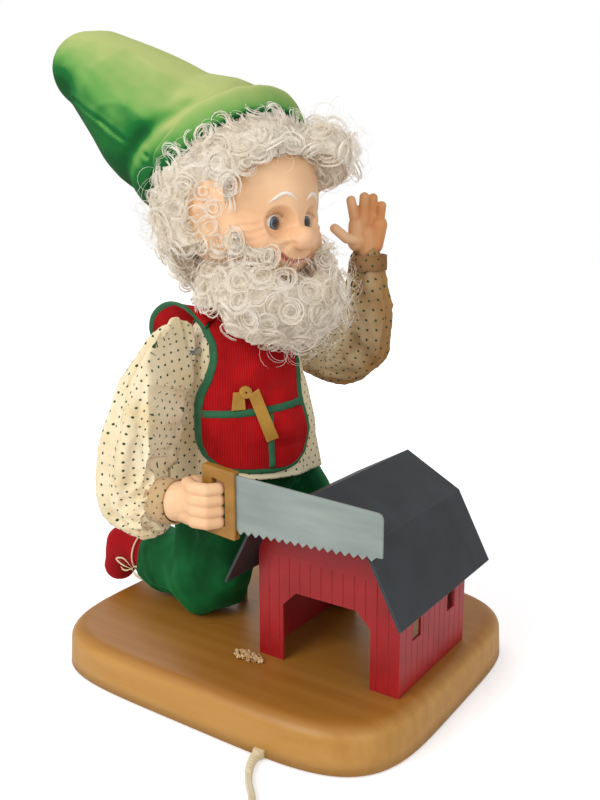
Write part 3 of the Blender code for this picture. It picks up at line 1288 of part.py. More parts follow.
def parts_list():
    """Every sub-part with its colour, roughness, metallic value and the axis it moves on, if any."""
    yield make_base_shell(), "B5853A", 0.38, 0, None
    yield make_base_cover(), "6B4A2C", 0.85, 0, None
    for corner in FOOT_CORNERS:
        yield make_foot(corner), "2A2A2A", 0.8, 0, None
    yield make_cord_gland(), "E6D9B8", 0.5, 0, None
    yield make_power_cord(), "E6D9B8", 0.5, 0, None
    yield make_power_cord_coil(), "E6D9B8", 0.5, 0, None
    yield make_cord_tie(), "F0F0EC", 0.6, 0, None
    yield make_plug(), "E6D9B8", 0.5, 0, None
    yield make_barn_walls(), "B01E22", 0.45, 0, None
    yield make_barn_roof(), "33373B", 0.6, 0, None
    yield make_wood_shavings(), "D9A85C", 0.8, 0, None
    yield make_body_post(), STEEL, 0.35, 1, None
    yield make_chassis(), STEEL, 0.4, 1, None
    yield make_shoulder_bush(-1, "shoulder_bush_right"), "E8E4DA", 0.5, 0, None
    yield make_shoulder_bush(1, "shoulder_bush_left"), "E8E4DA", 0.5, 0, None
    yield make_bush("neck_bush", Matrix.Translation((SHAFT_X, 0, CHASSIS_TOP)),
                    CHASSIS_WALL + 0.001), "E8E4DA", 0.5, 0, None
    yield make_motor_can(), STEEL, 0.35, 1, None
    yield make_gearbox(), "8C8F92", 0.4, 1, None
    yield make_output_shaft(), STEEL, 0.3, 1, "crank"
    yield make_crank_disc(), "E8E4DA", 0.5, 0, "crank"
    yield make_connecting_rod(), STEEL, 0.4, 1, "link"
    yield make_shoulder_lever(), STEEL, 0.4, 1, "arms"
    yield make_shoulder_shaft(), STEEL, 0.3, 1, "arms"
    yield make_head_drive_pin(), STEEL, 0.4, 1, "arms"
    yield make_head_fork(), STEEL, 0.4, 1, "head"
    yield make_neck_shaft(), STEEL, 0.3, 1, "head"
    yield make_neck_plate(), "E8E4DA", 0.5, 0, "head"
    yield make_torso_shell(), "D8C8A8", 0.5, 0, None
    yield make_shirt_body(), CREAM, 0.9, 0, None
    yield make_vest(), RED, 0.9, 0, None
    yield make_vest_pocket(), RED, 0.9, 0, None
    yield make_folding_rule(), "A0751F", 0.5, 0, None
    yield make_trousers(), GREEN, 0.9, 0, None
    yield make_boot_right(), "A80A12", 0.9, 0, None
    yield make_boot_left(), "A80A12", 0.9, 0, None
    yield make_sleeve("sleeve_right", RIGHT_SLEEVE, -1), CREAM, 0.9, 0, "arms"
    yield make_sleeve("sleeve_left", LEFT_SLEEVE, 1), CREAM, 0.9, 0, "arms"
    yield make_arm_wire("arm_wire_right", -1), STEEL, 0.4, 1, "arms"
    yield make_arm_wire("arm_wire_left", 1), STEEL, 0.4, 1, "arms"
    yield make_hand_right(), SKIN, 0.5, 0, "arms"
    yield make_hand_left(), SKIN, 0.5, 0, "arms"
    yield make_saw_handle(), "A87A2A", 0.45, 0, "arms"
    yield make_saw_blade(), "9AA5A0", 0.4, 0, "arms"
    yield make_head_shell(), SKIN, 0.5, 0, "head"
    yield make_eye("eye_right", -1), "F2F0EA", 0.1, 0, "head"
    yield make_eye("eye_left", 1), "F2F0EA", 0.1, 0, "head"
    yield make_wig(), "D9D4CB", 0.8, 0, "head"
    yield make_beard(), "D9D4CB", 0.8, 0, "head"
    yield make_hat(), "4C9A4A", 0.95, 0, "head"
    yield make_hat_cuff(), "3F7F3C", 0.95, 0, "head"


def main():
    frame = linked("figure_frame", None)
    frame.location = (FRAME_X, 0, 0)
    axes = {}
    for name, place in AXES.items():
        axes[name] = linked(name + "_axis", None)
        axes[name].parent = frame
        axes[name].location = place
    for obj, colour, roughness, metallic, axis in list(parts_list()):
        obj.data.materials.append(material(obj.name, colour, roughness, metallic))
        obj.data.shade_smooth()
        obj.data.set_sharp_from_angle(angle=math.radians(35))
        obj.parent = axes[axis] if axis else frame
        if axis:
            obj.data.transform(Matrix.Translation(-Vector(AXES[axis])))


main()
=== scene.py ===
# %% [markdown]
# # A dressed display elf with a saw and a toy barn
# The mechanism, the base and the other hard parts come from the measured model as a fixed frame.
# This lesson dresses it: camera and light first, then the cord, the hard finishes, the cloth, the
# face and hands, and the curled hair. Each step says what the real piece is and why it is made so.

# %% Load the measured model
import heapq
import math
import random

import bmesh
import bpy
import numpy as np
from mathutils import Matrix, Vector, noise


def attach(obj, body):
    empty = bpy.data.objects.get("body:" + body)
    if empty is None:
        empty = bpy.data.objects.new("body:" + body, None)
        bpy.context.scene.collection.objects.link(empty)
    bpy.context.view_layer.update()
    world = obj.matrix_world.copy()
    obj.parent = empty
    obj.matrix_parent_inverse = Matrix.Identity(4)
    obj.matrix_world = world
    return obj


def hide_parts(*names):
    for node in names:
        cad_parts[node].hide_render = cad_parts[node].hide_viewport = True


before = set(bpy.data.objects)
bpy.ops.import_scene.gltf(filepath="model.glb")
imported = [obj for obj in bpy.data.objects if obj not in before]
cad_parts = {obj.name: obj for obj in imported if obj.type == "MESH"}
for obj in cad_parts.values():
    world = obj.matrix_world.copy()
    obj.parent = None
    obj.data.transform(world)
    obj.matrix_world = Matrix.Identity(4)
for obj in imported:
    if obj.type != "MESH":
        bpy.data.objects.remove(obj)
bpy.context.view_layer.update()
# The middle of the base lies this far ahead of the middle of the model's box.
FRAME_X = 0.0250
print("nodes in the frame:", len(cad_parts))

# %% [markdown]
# ## Camera and light
# The photograph looks down a little from the elf's front left. A camera fitted to the base, the barn
# and the saw gives the place, the two turns and the lens. The light is one large soft lamp in front
# and above, a weaker one on the other side, and a plain bright room.

# %% Camera
def placed(name, data):
    """Put a camera, lamp, mesh or curve into the scene as an object."""
    obj = bpy.data.objects.new(name, data)
    bpy.context.collection.objects.link(obj)
    return obj


def as_mesh(name, bm):
    """Mesh from a bmesh, which is freed."""
    mesh = bpy.data.meshes.new(name)
    bm.to_mesh(mesh)
    bm.free()
    return mesh


camera_data = bpy.data.cameras.new("photo_camera")
camera_data.lens = 39.63
camera = placed("photo_camera", camera_data)
camera.location = (0.44307 + FRAME_X, -0.63372, 0.4130)
camera.rotation_euler = (math.radians(77.71), 0, math.radians(34.1))
bpy.context.scene.camera = camera
bpy.context.scene.view_settings.view_transform = "Standard"
print("camera lens", camera_data.lens, "mm")


# %% Colours and nodes
def linear(channel):
    return channel / 12.92 if channel <= 0.04045 else ((channel + 0.055) / 1.055) ** 2.4


def colour(code):
    """sRGB hex to a linear colour with full alpha."""
    return (*(linear(int(code[i:i + 2], 16) / 255) for i in (0, 2, 4)), 1)


def add(tree, kind, settings=(), inputs=()):
    """Add one node; inputs maps a socket to a value or to the socket that feeds it."""
    made = tree.nodes.new("ShaderNode" + kind)
    for name, value in dict(settings).items():
        setattr(made, name, value)
    for name, value in dict(inputs).items():
        if isinstance(value, bpy.types.NodeSocket):
            tree.links.new(value, made.inputs[name])
        else:
            made.inputs[name].default_value = value
    return made


def finish(name, code, roughness, **plain):
    """Start a material: its tree, its shader and the object's own coordinates."""
    made = bpy.data.materials.new(name)
    made.use_nodes = True
    tree = made.node_tree
    shader = tree.nodes["Principled BSDF"]
    shader.inputs["Base Color"].default_value = colour(code)
    shader.inputs["Roughness"].default_value = roughness
    for socket, value in plain.items():
        shader.inputs[socket.replace("_", " ")].default_value = value
    return made, tree, shader, add(tree, "TexCoord").outputs["Object"]


def noisy(tree, where, scale, detail):
    return add(tree, "TexNoise", inputs={"Vector": where, "Scale": scale, "Detail": detail}).outputs["Fac"]


def ramped(tree, value, stops):
    """Colour ramp through (place, hex) stops."""
    made = add(tree, "ValToRGB", inputs={"Fac": value})
    ramp = made.color_ramp
    while len(ramp.elements) < len(stops):
        ramp.elements.new(0.5)
    for element, (spot, code) in zip(ramp.elements, stops):
        element.position = spot
        element.color = colour(code)
    return made.outputs["Color"]


def speckled(tree, where, scale, low, high, stretch=(1, 1, 1), detail=4.0):
    """Colour that wanders between two hex values with a noise of the given size."""
    mapped = add(tree, "Mapping", inputs={"Vector": where, "Scale": stretch})
    cloud = noisy(tree, mapped.outputs["Vector"], scale, detail)
    return ramped(tree, cloud, [(0.3, low), (0.7, high)]), cloud


def mixed(tree, factor, a, b, blend="MIX"):
    """Colour b laid over colour a by a factor, or multiplied into it."""
    made = add(tree, "Mix", {"data_type": "RGBA", "blend_type": blend}, {"Factor": factor, "A": a, "B": b})
    return made.outputs["Result"]


def ranged(tree, value, low, high, to_low=0.0, to_high=1.0, curve="LINEAR"):
    """Map low..high of a value to another range, clamped at its ends."""
    made = add(tree, "MapRange", {"interpolation_type": curve},
               {"Value": value, "From Min": low, "From Max": high, "To Min": to_low, "To Max": to_high})
    return made.outputs["Result"]


def split(tree, vector, axis):
    return add(tree, "SeparateXYZ", inputs={"Vector": vector}).outputs[axis]


def coloured(tree, shader, tint):
    tree.links.new(tint, shader.inputs["Base Color"])


def bumped(tree, shader, height, strength, distance):
    bump = add(tree, "Bump", inputs={"Height": height, "Strength": strength, "Distance": distance})
    tree.links.new(bump.outputs["Normal"], shader.inputs["Normal"])


def clouded(name, code, roughness, scale, low, high, bump=None, stretch=(1, 1, 1), detail=4.0, **plain):
    """Material with one wandering colour; bump is the strength and the depth of the same noise."""
    made, tree, shader, where = finish(name, code, roughness, **plain)
    tint, cloud = speckled(tree, where, scale, low, high, stretch, detail)
    coloured(tree, shader, tint)
    if bump:
        bumped(tree, shader, cloud, *bump)
    return made


print("colour check, mid grey:", round(colour("808080")[0], 3))


# %% Room, lamps and floor
LAMP_TARGET = Vector((0.02, 0.0, 0.25))


def lamp(name, size, watts, place):
    light = bpy.data.lights.new(name, "AREA")
    light.size = size
    light.energy = watts
    obj = placed(name, light)
    obj.location = place
    obj.rotation_euler = (LAMP_TARGET - Vector(place)).to_track_quat("-Z", "Y").to_euler()


lamp("key_softbox", 0.9, 15, (-0.25, -1.45, 1.15))
lamp("fill_softbox", 1.2, 5, (1.35, -0.75, 0.8))
lamp("back_softbox", 1.0, 6, (-0.9, 0.9, 1.3))

# The room is plain white to the camera and dimmer as a light on the elf.
room = bpy.data.worlds.new("bright_room")
room.use_nodes = True
sky = room.node_tree
back = sky.nodes["Background"]
back.inputs["Color"].default_value = (1, 1, 1, 1)
rays = add(sky, "LightPath")
seen = add(sky, "Math", {"operation": "MAXIMUM"},
           {0: rays.outputs["Is Camera Ray"], 1: rays.outputs["Is Transmission Ray"]})
sky.links.new(ranged(sky, seen.outputs[0], 0.0, 1.0, 0.55, 1.0), back.inputs["Strength"])
bpy.context.scene.world = room

# White paper: matt, and brighter away from the elf so that it fades into the background.
paper, tree, shader, where = finish("white_paper_sweep", "EDEBEC", 0.9)
shader.inputs["Emission Color"].default_value = (1, 1, 1, 1)
seen = add(tree, "LightPath")
away = add(tree, "VectorMath", {"operation": "LENGTH"}, {0: where})
rise = ranged(tree, away.outputs["Value"], 0.35, 1.2, 0.42, 0.75)
glow = add(tree, "Math", {"operation": "MULTIPLY"}, {0: seen.outputs["Is Camera Ray"], 1: rise})
tree.links.new(glow.outputs[0], shader.inputs["Emission Strength"])
bm = bmesh.new()
bmesh.ops.create_grid(bm, x_segments=1, y_segments=1, size=6.0)
sweep = as_mesh("floor", bm)
sweep.materials.append(paper)
floor = placed("floor", sweep)
print("lamps and floor ready")


# %% [markdown]
# ## Shared ways of making a piece
# Soft limbs swell and taper. Each is made from balls hulled in pairs, fused by a voxel remesh and
# smoothed, which gives one closed skin with no creases at the joints. Flat cloth starts as a grid
# whose points are then laid onto the body it covers.

# %% Making and placing pieces
def piece(name, bm, material, body, replaces=(), smooth=True):
    """Turn a bmesh into a named piece that rides on a body."""
    mesh = as_mesh(name, bm)
    mesh.materials.append(material)
    if smooth:
        mesh.shade_smooth()
    obj = placed(name, mesh)
    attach(obj, body)
    if replaces:
        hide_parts(*replaces)
    return obj


def settled(bm, *modifiers):
    """Run modifiers, each (kind, settings), on a bmesh and return the result as a new bmesh."""
    mesh = as_mesh("work", bm)
    obj = placed("work", mesh)
    for kind, settings in modifiers:
        made = obj.modifiers.new(kind, kind)
        for name, value in settings.items():
            setattr(made, name, value)
    depsgraph = bpy.context.evaluated_depsgraph_get()
    depsgraph.update()
    result = bmesh.new()
    result.from_mesh(obj.evaluated_get(depsgraph).to_mesh())
    bpy.data.objects.remove(obj, do_unlink=True)
    bpy.data.meshes.remove(mesh)
    return result


def thickened(bm, thickness, offset=0.0):
    return settled(bm, ("SOLIDIFY", {"thickness": thickness, "offset": offset}))


def subdivided(bm, levels):
    return settled(bm, ("SUBSURF", {"levels": levels, "render_levels": levels}))


def fused(bm, voxel, smoothing):
    """One closed skin round everything in the bmesh."""
    return settled(bm, ("REMESH", {"mode": "VOXEL", "voxel_size": voxel}),
                   ("SMOOTH", {"iterations": smoothing}))


def row(x, y, z):
    """Point measured from the middle of the base, in metres, in the frame's own place."""
    return Vector((x + FRAME_X, y, z))


def merged(target, other):
    """Add one bmesh to another and free it."""
    mesh = as_mesh("other", other)
    target.from_mesh(mesh)
    bpy.data.meshes.remove(mesh)


def moved(bm, matrix):
    bmesh.ops.transform(bm, matrix=matrix, verts=bm.verts)


def closed_up(bm):
    """Fill the open ends and turn every face outwards."""
    bmesh.ops.holes_fill(bm, edges=[e for e in bm.edges if e.is_boundary], sides=0)
    bmesh.ops.recalc_face_normals(bm, faces=bm.faces)
    return bm


def spun(section, steps, closed=True):
    """Turn an outline of (radius, height) points once round the upright axis."""
    bm = bmesh.new()
    made = [bm.verts.new((radius, 0, height)) for radius, height in section]
    edges = [bm.edges.new(pair) for pair in zip(made, made[1:] + (made[:1] if closed else []))]
    bmesh.ops.spin(bm, geom=made + edges, cent=(0, 0, 0), axis=(0, 0, 1), angle=2 * math.pi, steps=steps,
                   use_merge=True)
    return bm


def limb(chains, voxel, smoothing):
    """Fused skin over balls: each chain is a list of (centre, radius)."""
    bm = bmesh.new()
    for chain in chains:
        for pair in zip(chain, chain[1:]):
            part = bmesh.new()
            for centre, radius in pair:
                bmesh.ops.create_icosphere(part, subdivisions=3, radius=radius,
                                           matrix=Matrix.Translation(row(*centre)))
            hull = bmesh.ops.convex_hull(part, input=part.verts)
            inside = [v for v in hull["geom_interior"] if isinstance(v, bmesh.types.BMVert)]
            bmesh.ops.delete(part, geom=inside, context="VERTS")
            merged(bm, part)
    return fused(bm, voxel, smoothing)


def laid(columns, rows, place, closed=False, size=(1, 1), flat=None):
    """Grid of cloth laid by a rule place(u, v). Its UV map is in metres: size times u, v, or flat(u, v)."""
    bm = bmesh.new()
    bmesh.ops.create_grid(bm, x_segments=columns, y_segments=rows, size=0.5)
    layer = bm.loops.layers.uv.new("cloth")
    for face in bm.faces:
        for loop in face.loops:
            u, v = loop.vert.co.x + 0.5, loop.vert.co.y + 0.5
            loop[layer].uv = flat(u, v) if flat else (u * size[0], v * size[1])
    for vert in bm.verts:
        vert.co = place(vert.co.x + 0.5, vert.co.y + 0.5)
    if closed:
        bmesh.ops.remove_doubles(bm, verts=bm.verts, dist=1e-6)
    bmesh.ops.recalc_face_normals(bm, faces=bm.faces)
    return bm


def at_share(route, t):
    """Point at a share t of a route's steps, and the way the route runs there."""
    spot = t * (len(route) - 1)
    i = min(int(spot), len(route) - 2)
    return route[i].lerp(route[i + 1], spot - i), (route[i + 1] - route[i]).normalized()


def nearest_on(points, routes):
    """Distance from each point to the closest of several polylines."""
    best = np.full(len(points), 9.0)
    for route in routes:
        line = np.array(eased([Vector(p) for p in route], 10))
        best = np.minimum(best, np.sqrt(((points[:, None] - line[None]) ** 2).sum(2)).min(1))
    return best


def trimmed(bm, point, normal):
    """Keep the part of a closed skin behind a plane and close the cut."""
    cut = bmesh.ops.bisect_plane(bm, geom=bm.verts[:] + bm.edges[:] + bm.faces[:], plane_co=point,
                                 plane_no=normal, clear_outer=True)
    edges = [e for e in cut["geom_cut"] if isinstance(e, bmesh.types.BMEdge)]
    bmesh.ops.holes_fill(bm, edges=edges, sides=0)
    return bm


def dress(material, *names):
    """Give CAD nodes a finish."""
    for name in names:
        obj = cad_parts[name]
        for index in range(len(obj.data.materials)):
            obj.material_slots[index].material = material


print("helpers ready")

# %% [markdown]
# ## The lead
# A light ivory two-core lead leaves the front skirt through a moulded gland. What the photograph does
# not show is wound into a neat coil with a white tie, just in front of the base. The two cores make a
# flat section, so a figure-of-eight outline is carried along the route of the measured cord.

# %% Route of the lead
CORD_RADIUS = 0.0027
COIL_CENTRE = (0.1500, -0.2620)
COIL_INNER = 0.0216
COIL_PITCH = 0.0059
COIL_TURNS = 4
COIL_RISE = 0.0062
COIL_BOTTOM = 0.0012
COIL_START = math.radians(150)
PLUG_HEIGHT = 0.0110
GAP = 0.0003


def smoothstep(t):
    t = min(1.0, max(0.0, t))
    return t * t * (3 - 2 * t)


def coil_point(turn, radius, z):
    return Vector((COIL_CENTRE[0] + radius * math.cos(turn), COIL_CENTRE[1] + radius * math.sin(turn), z))


def coil_route(steps):
    """Two flat layers: in, up, out, then a rise to the plug."""
    low = COIL_BOTTOM + CORD_RADIUS
    outer = COIL_INNER + COIL_PITCH * COIL_TURNS
    route = []
    for i in range(2 * COIL_TURNS * steps + 1):
        t = i / steps
        radius = COIL_INNER + COIL_PITCH * abs(COIL_TURNS - t)
        climb = smoothstep(2 * (t - COIL_TURNS) + 0.5)
        route.append(coil_point(COIL_START + 2 * math.pi * t, radius, low + COIL_RISE * climb))
    top = low + COIL_RISE + CORD_RADIUS + PLUG_HEIGHT / 2 + 2 * GAP
    tail = steps // 3
    for i in range(1, tail + 1):
        t = i / tail
        radius = outer + COIL_PITCH * i / steps - 0.0130 * smoothstep(2 * t - 1)
        z = low + COIL_RISE + (top - low - COIL_RISE) * smoothstep(1.25 * t)
        route.append(coil_point(COIL_START + 2 * math.pi * i / steps, radius, z))
    heading = route[-1] - route[-2]
    heading.z = 0
    lead_in = (route[0] - route[1]).normalized() * 2 * CORD_RADIUS
    return [route[0] + lead_in, *route, route[-1] + heading.normalized() * 2 * CORD_RADIUS]


def eased(points, pieces):
    """Catmull-Rom curve through the points."""
    knots = [Vector(p) for p in points]
    knots = [2 * knots[0] - knots[1], *knots, 2 * knots[-1] - knots[-2]]
    route = []
    for a, b, c, d in zip(knots, knots[1:], knots[2:], knots[3:]):
        for i in range(pieces):
            t = i / pieces
            route.append(0.5 * (2 * b + (c - a) * t + (2 * a - 5 * b + 4 * c - d) * t ** 2
                                + (3 * b - a - 3 * c + d) * t ** 3))
    route.append(knots[-2])
    return route


FREE_RUN = [(0.0790, -0.1550, 0.0042), (0.0794, -0.1600, 0.0038), (0.0840, -0.1710, 0.0030),
            (0.0935, -0.1840, 0.0030), (0.1052, -0.1957, 0.0030), (0.1140, -0.2100, 0.0033),
            (0.1160, -0.2240, 0.0037)]
coil = coil_route(24)
inward = (coil[1] - coil[0]).normalized()
lead_route = eased([*FREE_RUN, coil[0] - inward * 0.006], 3) + coil[1:]
lead_route = [point + Vector((FRAME_X, 0, 0)) for point in lead_route]


# %% The lead's skin
def carried(route, outline):
    """Carry a flat outline (side, up) along a route that runs nearly level, and close both ends."""
    bm = bmesh.new()
    count = len(outline)
    bmesh.ops.create_grid(bm, x_segments=count, y_segments=len(route) - 1, size=0.5)
    layer = bm.loops.layers.uv.new("cloth")
    for face in bm.faces:
        for loop in face.loops:
            loop[layer].uv = (loop.vert.co.x + 0.5, (loop.vert.co.y + 0.5) * len(route) * 0.008)
    for vert in bm.verts:
        i = round((vert.co.y + 0.5) * (len(route) - 1))
        side, up = outline[round((vert.co.x + 0.5) * count) % count]
        ahead = (route[min(i + 1, len(route) - 1)] - route[max(i - 1, 0)]).normalized()
        across = ahead.cross(Vector((0, 0, 1))).normalized()
        vert.co = route[i] + across * side + across.cross(ahead).normalized() * up
    bmesh.ops.remove_doubles(bm, verts=bm.verts, dist=1e-7)
    return closed_up(bm)


def twin_outline(half_width, half_height, waist, count=16):
    """Two round cores side by side with a shallow groove between them."""
    outline = []
    for i in range(count):
        turn = 2 * math.pi * i / count
        side = half_width * math.cos(turn)
        groove = 1 - waist * math.exp(-(side / (0.28 * half_width)) ** 2)
        up = math.copysign(abs(math.sin(turn)) ** 0.8, math.sin(turn))
        outline.append((side, half_height * up * groove))
    return outline


# Ivory vinyl of the lead: slightly yellowed, with the soft gloss of a flexible skin.
ivory = clouded("ivory_soft_vinyl", "E6D9B8", 0.42, 60, "DCCDA6", "EADFC2", bump=(0.15, 0.0002))


def relief_place(u, v):
    """Ribbed sleeve, 24 mm long, that narrows from the gland to the lead's own size."""
    point, ahead = at_share(relief_run, v)
    across = ahead.cross(Vector((0, 0, 1))).normalized()
    radius = 0.0040 - 0.0011 * v + 0.00018 * math.sin(2 * math.pi * 9 * v)
    turn = 2 * math.pi * u
    made = point + radius * (across * math.cos(turn) + across.cross(ahead) * math.sin(turn))
    made.z = max(made.z, 0.0003)
    return made


relief_run = [point for point in lead_route if point.y > lead_route[0].y - 0.0215]
bm = closed_up(laid(20, 72, relief_place, closed=True, size=(0.025, 0.024)))
relief = piece("strain_relief", bm, ivory, "stand")
bm = carried(lead_route, twin_outline(CORD_RADIUS, 0.00225, 0.35))
lead = piece("lead", bm, ivory, "stand", ("power_cord", "power_cord_coil"))
dress(ivory, "cord_gland")
print("lead skin:", len(lead.data.polygons), "faces")

# %% [markdown]
# ## Moulded hard parts
# The base is a vacuum-formed tray in golden-brown plastic with a faint wood figure. It is turned and
# stretched from a circle into its bulged outline, so its corners stay smooth at any distance.

# %% Base tray
BASE_LENGTH, BASE_WIDTH, BASE_TOP = 0.3554, 0.3048, 0.0380
BASE_EDGE, BASE_DRAFT, BASE_WALL = 0.0130, 0.0012, 0.0025


def base_ring_scale(inset, angle):
    """Point of the bulged outline at an angle, moved in by an inset."""
    power = 2 / 4.76
    c, s = math.cos(angle), math.sin(angle)
    return (math.copysign(abs(c) ** power, c) * (BASE_LENGTH / 2 - inset),
            math.copysign(abs(s) ** power, s) * (BASE_WIDTH / 2 - inset))


def tray_profile():
    """Inset and height from the skirt's foot to the middle of the top, then back inside."""
    outer = [(0.0, 0.0015), (BASE_DRAFT * 0.5, 0.013), (BASE_DRAFT, BASE_TOP - BASE_EDGE)]
    for i in range(1, 9):
        turn = math.radians(90 * i / 8)
        outer.append((BASE_DRAFT + BASE_EDGE * (1 - math.cos(turn)),
                      BASE_TOP - BASE_EDGE * (1 - math.sin(turn))))
    outer += [(0.020, BASE_TOP), (0.060, BASE_TOP), (0.100, BASE_TOP), (0.135, BASE_TOP)]
    inner = [(inset + BASE_WALL * 0.9, z - BASE_WALL * (1 if inset > 0.004 else 0)) for inset, z in outer]
    return outer, inner


def make_tray():
    outer, inner = tray_profile()
    rings = inner[::-1] + outer

    def place_point(u, v):
        inset, z = rings[round(v * (len(rings) - 1))]
        x, y = base_ring_scale(inset, 2 * math.pi * u)
        return row(x, y, z)

    return closed_up(laid(200, len(rings) - 1, place_point, closed=True))


# Base plastic: satin golden brown with a long faint wood figure; painted shade makes the flat top a little
# deeper.
golden, tree, shader, where = finish("vacuum_formed_golden_brown_plastic", "BC8A40", 0.42,
                                     Specular_IOR_Level=0.4)
figure, grain = speckled(tree, where, 60, "B8843A", "C4924A", stretch=(0.10, 1.8, 1), detail=6)
# Painted shade: a pale brown is multiplied into the flat top to darken it.
top = ranged(tree, split(tree, where, "Z"), 0.031, 0.0375)
coloured(tree, shader, mixed(tree, top, figure, colour("DCC9A8"), "MULTIPLY"))
bumped(tree, shader, grain, 0.15, 0.0003)
tray = piece("base_tray", make_tray(), golden, "stand", ("base_shell",))
print("tray faces", len(tray.data.polygons))

# %% [markdown]
# The barn is moulded in red plastic with V-grooved boards, its roof in dark grey. Both keep their
# measured shape. Their finish carries what the eye reads as plastic: a soft gloss, a faint ripple from
# the mould, and pale scuffs where edges have been handled.


# %% Barn, saw and rule finishes
def moulded(name, low, high, roughness, scuff, scale=35):
    """Moulded or painted plastic: a wandering colour, a fine mould texture and pale scuffed edges."""
    made, tree, shader, where = finish(name, low, roughness)
    tint, cloud = speckled(tree, where, scale, low, high)
    flat = add(tree, "NewGeometry")
    soft = add(tree, "Bevel", {"samples": 4}, {"Radius": 0.0009})
    apart = add(tree, "VectorMath", {"operation": "DOT_PRODUCT"},
                {0: flat.outputs["Normal"], 1: soft.outputs["Normal"]})
    worn = ranged(tree, apart.outputs["Value"], 0.985, 0.80, 0.0, 0.45)
    coloured(tree, shader, mixed(tree, worn, tint, colour(scuff)))
    bumped(tree, shader, noisy(tree, where, 900, 2.0), 0.12, 0.0002)
    return made


PLASTICS = [
    # Barn walls: deep red, with a soft gloss on each board and paler arrises.
    ("moulded_barn_red_plastic", "960D14", "A8151B", 0.38, "C4504B", 35, ["barn_walls"]),
    # Roof: near-black slate grey, duller than the walls.
    ("moulded_slate_grey_plastic", "202428", "2C3136", 0.5, "7E8387", 35, ["barn_roof"]),
    # Saw grip: brown paint worn light along its edges.
    ("painted_saw_handle_plastic", "8F6420", "A9782C", 0.4, "C79B55", 60, ["saw_handle"]),
    # Bushes, crank and neck plate: milky off-white nylon.
    ("natural_nylon", "E0DBCD", "ECE8DD", 0.45, "F2EFE8", 90,
     ["shoulder_bush_right", "shoulder_bush_left", "neck_bush", "crank_disc", "neck_plate"]),
    # Torso: plain buff plastic, hidden by the clothes.
    ("plain_buff_housing_plastic", "CDBB98", "DCCBAA", 0.5, "E6DAC0", 50, ["torso_shell"]),
    # Closing panel: brown, dry and fibrous.
    ("pressed_fibre_board", "5F4127", "76553A", 0.85, "8A6A4C", 400, ["base_cover"]),
    # Feet: matt black rubber.
    ("black_moulded_rubber", "242424", "303030", 0.8, "454545", 500,
     ["foot_front_left", "foot_front_right", "foot_back_left", "foot_back_right"]),
    # Tie round the coil: clean white.
    ("white_tie_plastic", "E6E6E2", "F2F2EE", 0.5, "FFFFFF", 200, ["cord_tie"])]
for *look, nodes in PLASTICS:
    dress(moulded(*look), *nodes)

# Blade: satin grey-green, drawn out along its length.
blade_grey = clouded("satin_grey_green_blade_plastic", "8C9792", 0.36, 40, "84908B", "97A29C",
                     bump=(0.1, 0.0003), stretch=(0.4, 1, 2))
dress(blade_grey, "saw_blade")
# Folding rule: ochre paint.
rule_paint = moulded("painted_folding_rule_plastic", "A4741E", "BC8C32", 0.5, "DDBB70", 80)
print("barn, saw and rule have their finishes")


# %% Inner metal parts
def metal(name, code, roughness, scale):
    """Sheet or bar steel: fine rolling lines show as a stretched noise in the roughness."""
    made, tree, shader, where = finish(name, code, roughness, Metallic=1.0)
    mapped = add(tree, "Mapping", inputs={"Vector": where, "Scale": (1, 1, 12)})
    lines = noisy(tree, mapped.outputs["Vector"], scale, 5.0)
    rough = ranged(tree, lines, 0.0, 1.0, roughness - 0.1, roughness + 0.15)
    tree.links.new(rough, shader.inputs["Roughness"])
    bumped(tree, shader, lines, 0.08, 0.0002)
    return made


# Rolled steel is bright with fine lines; the cast gearbox is duller and grainy.
dress(metal("bright_rolled_steel", "B4B7B9", 0.35, 120), "body_post", "chassis", "motor_can",
      "output_shaft", "connecting_rod", "shoulder_lever", "shoulder_shaft", "head_drive_pin", "head_fork",
      "neck_shaft", "arm_wire_right", "arm_wire_left")
dress(metal("cast_zinc_housing", "9A9D9F", 0.5, 300), "gearbox")
dress(ivory, "plug")
print("inner parts done")

# %% [markdown]
# ## Shavings
# A pinch of curled shavings is glued in front of the barn. Each one is a short strip wound into a
# loose curl, and ninety of them make the heap.

# %% Heap of shavings
# Pine: pale straw that wanders into browner patches.
pine = clouded("pale_pine_shavings", "D9A85C", 0.75, 260, "B98549", "E9CFA0", bump=(0.4, 0.0005))


def curled_strip(bm, centre, turn, radius, width, wraps):
    part = bmesh.new()
    bmesh.ops.create_grid(part, x_segments=9, y_segments=1, size=0.5)
    for vert in part.verts:
        t = vert.co.x + 0.5
        angle = wraps * 2 * math.pi * t
        grow = radius * (0.6 + 0.6 * t)
        vert.co = Vector((grow * math.cos(angle), vert.co.y * width, grow * math.sin(angle)))
    bmesh.ops.solidify(part, geom=part.faces, thickness=0.00025)
    moved(part, Matrix.Translation(centre) @ turn.to_4x4())
    merged(bm, part)


chance = random.Random(5)
bm = bmesh.new()
heap = row(0.0210, -0.0895, BASE_TOP)
for i in range(90):
    angle, reach = chance.uniform(0, 2 * math.pi), chance.uniform(0, 1) ** 0.6
    spot = heap + Vector((0.0155 * reach * math.cos(angle), 0.0068 * reach * math.sin(angle),
                          0.0021 + 0.0030 * (1 - reach) * chance.random()))
    turn = (Matrix.Rotation(chance.uniform(0, 6.28), 3, "Z")
            @ Matrix.Rotation(chance.uniform(-0.9, 0.9), 3, "X"))
    curled_strip(bm, spot, turn, chance.uniform(0.0007, 0.0017), chance.uniform(0.0012, 0.0035),
                 chance.uniform(0.5, 1.1))
for vert in bm.verts:
    vert.co.z = max(vert.co.z, BASE_TOP + 0.0002)
shavings = piece("shavings", bm, pine, "stand", ("wood_shavings",), smooth=False)
print("shavings faces", len(shavings.data.polygons))

# %% [markdown]
# ## Cloth finishes
# Each cloth is told apart by its surface: velour and velvet catch light at a grazing angle, which the
# sheen socket gives. Corduroy has wales 2 mm apart. The shirt cotton has a plain weave too fine to
# see, printed with small green dots about 8 mm apart.


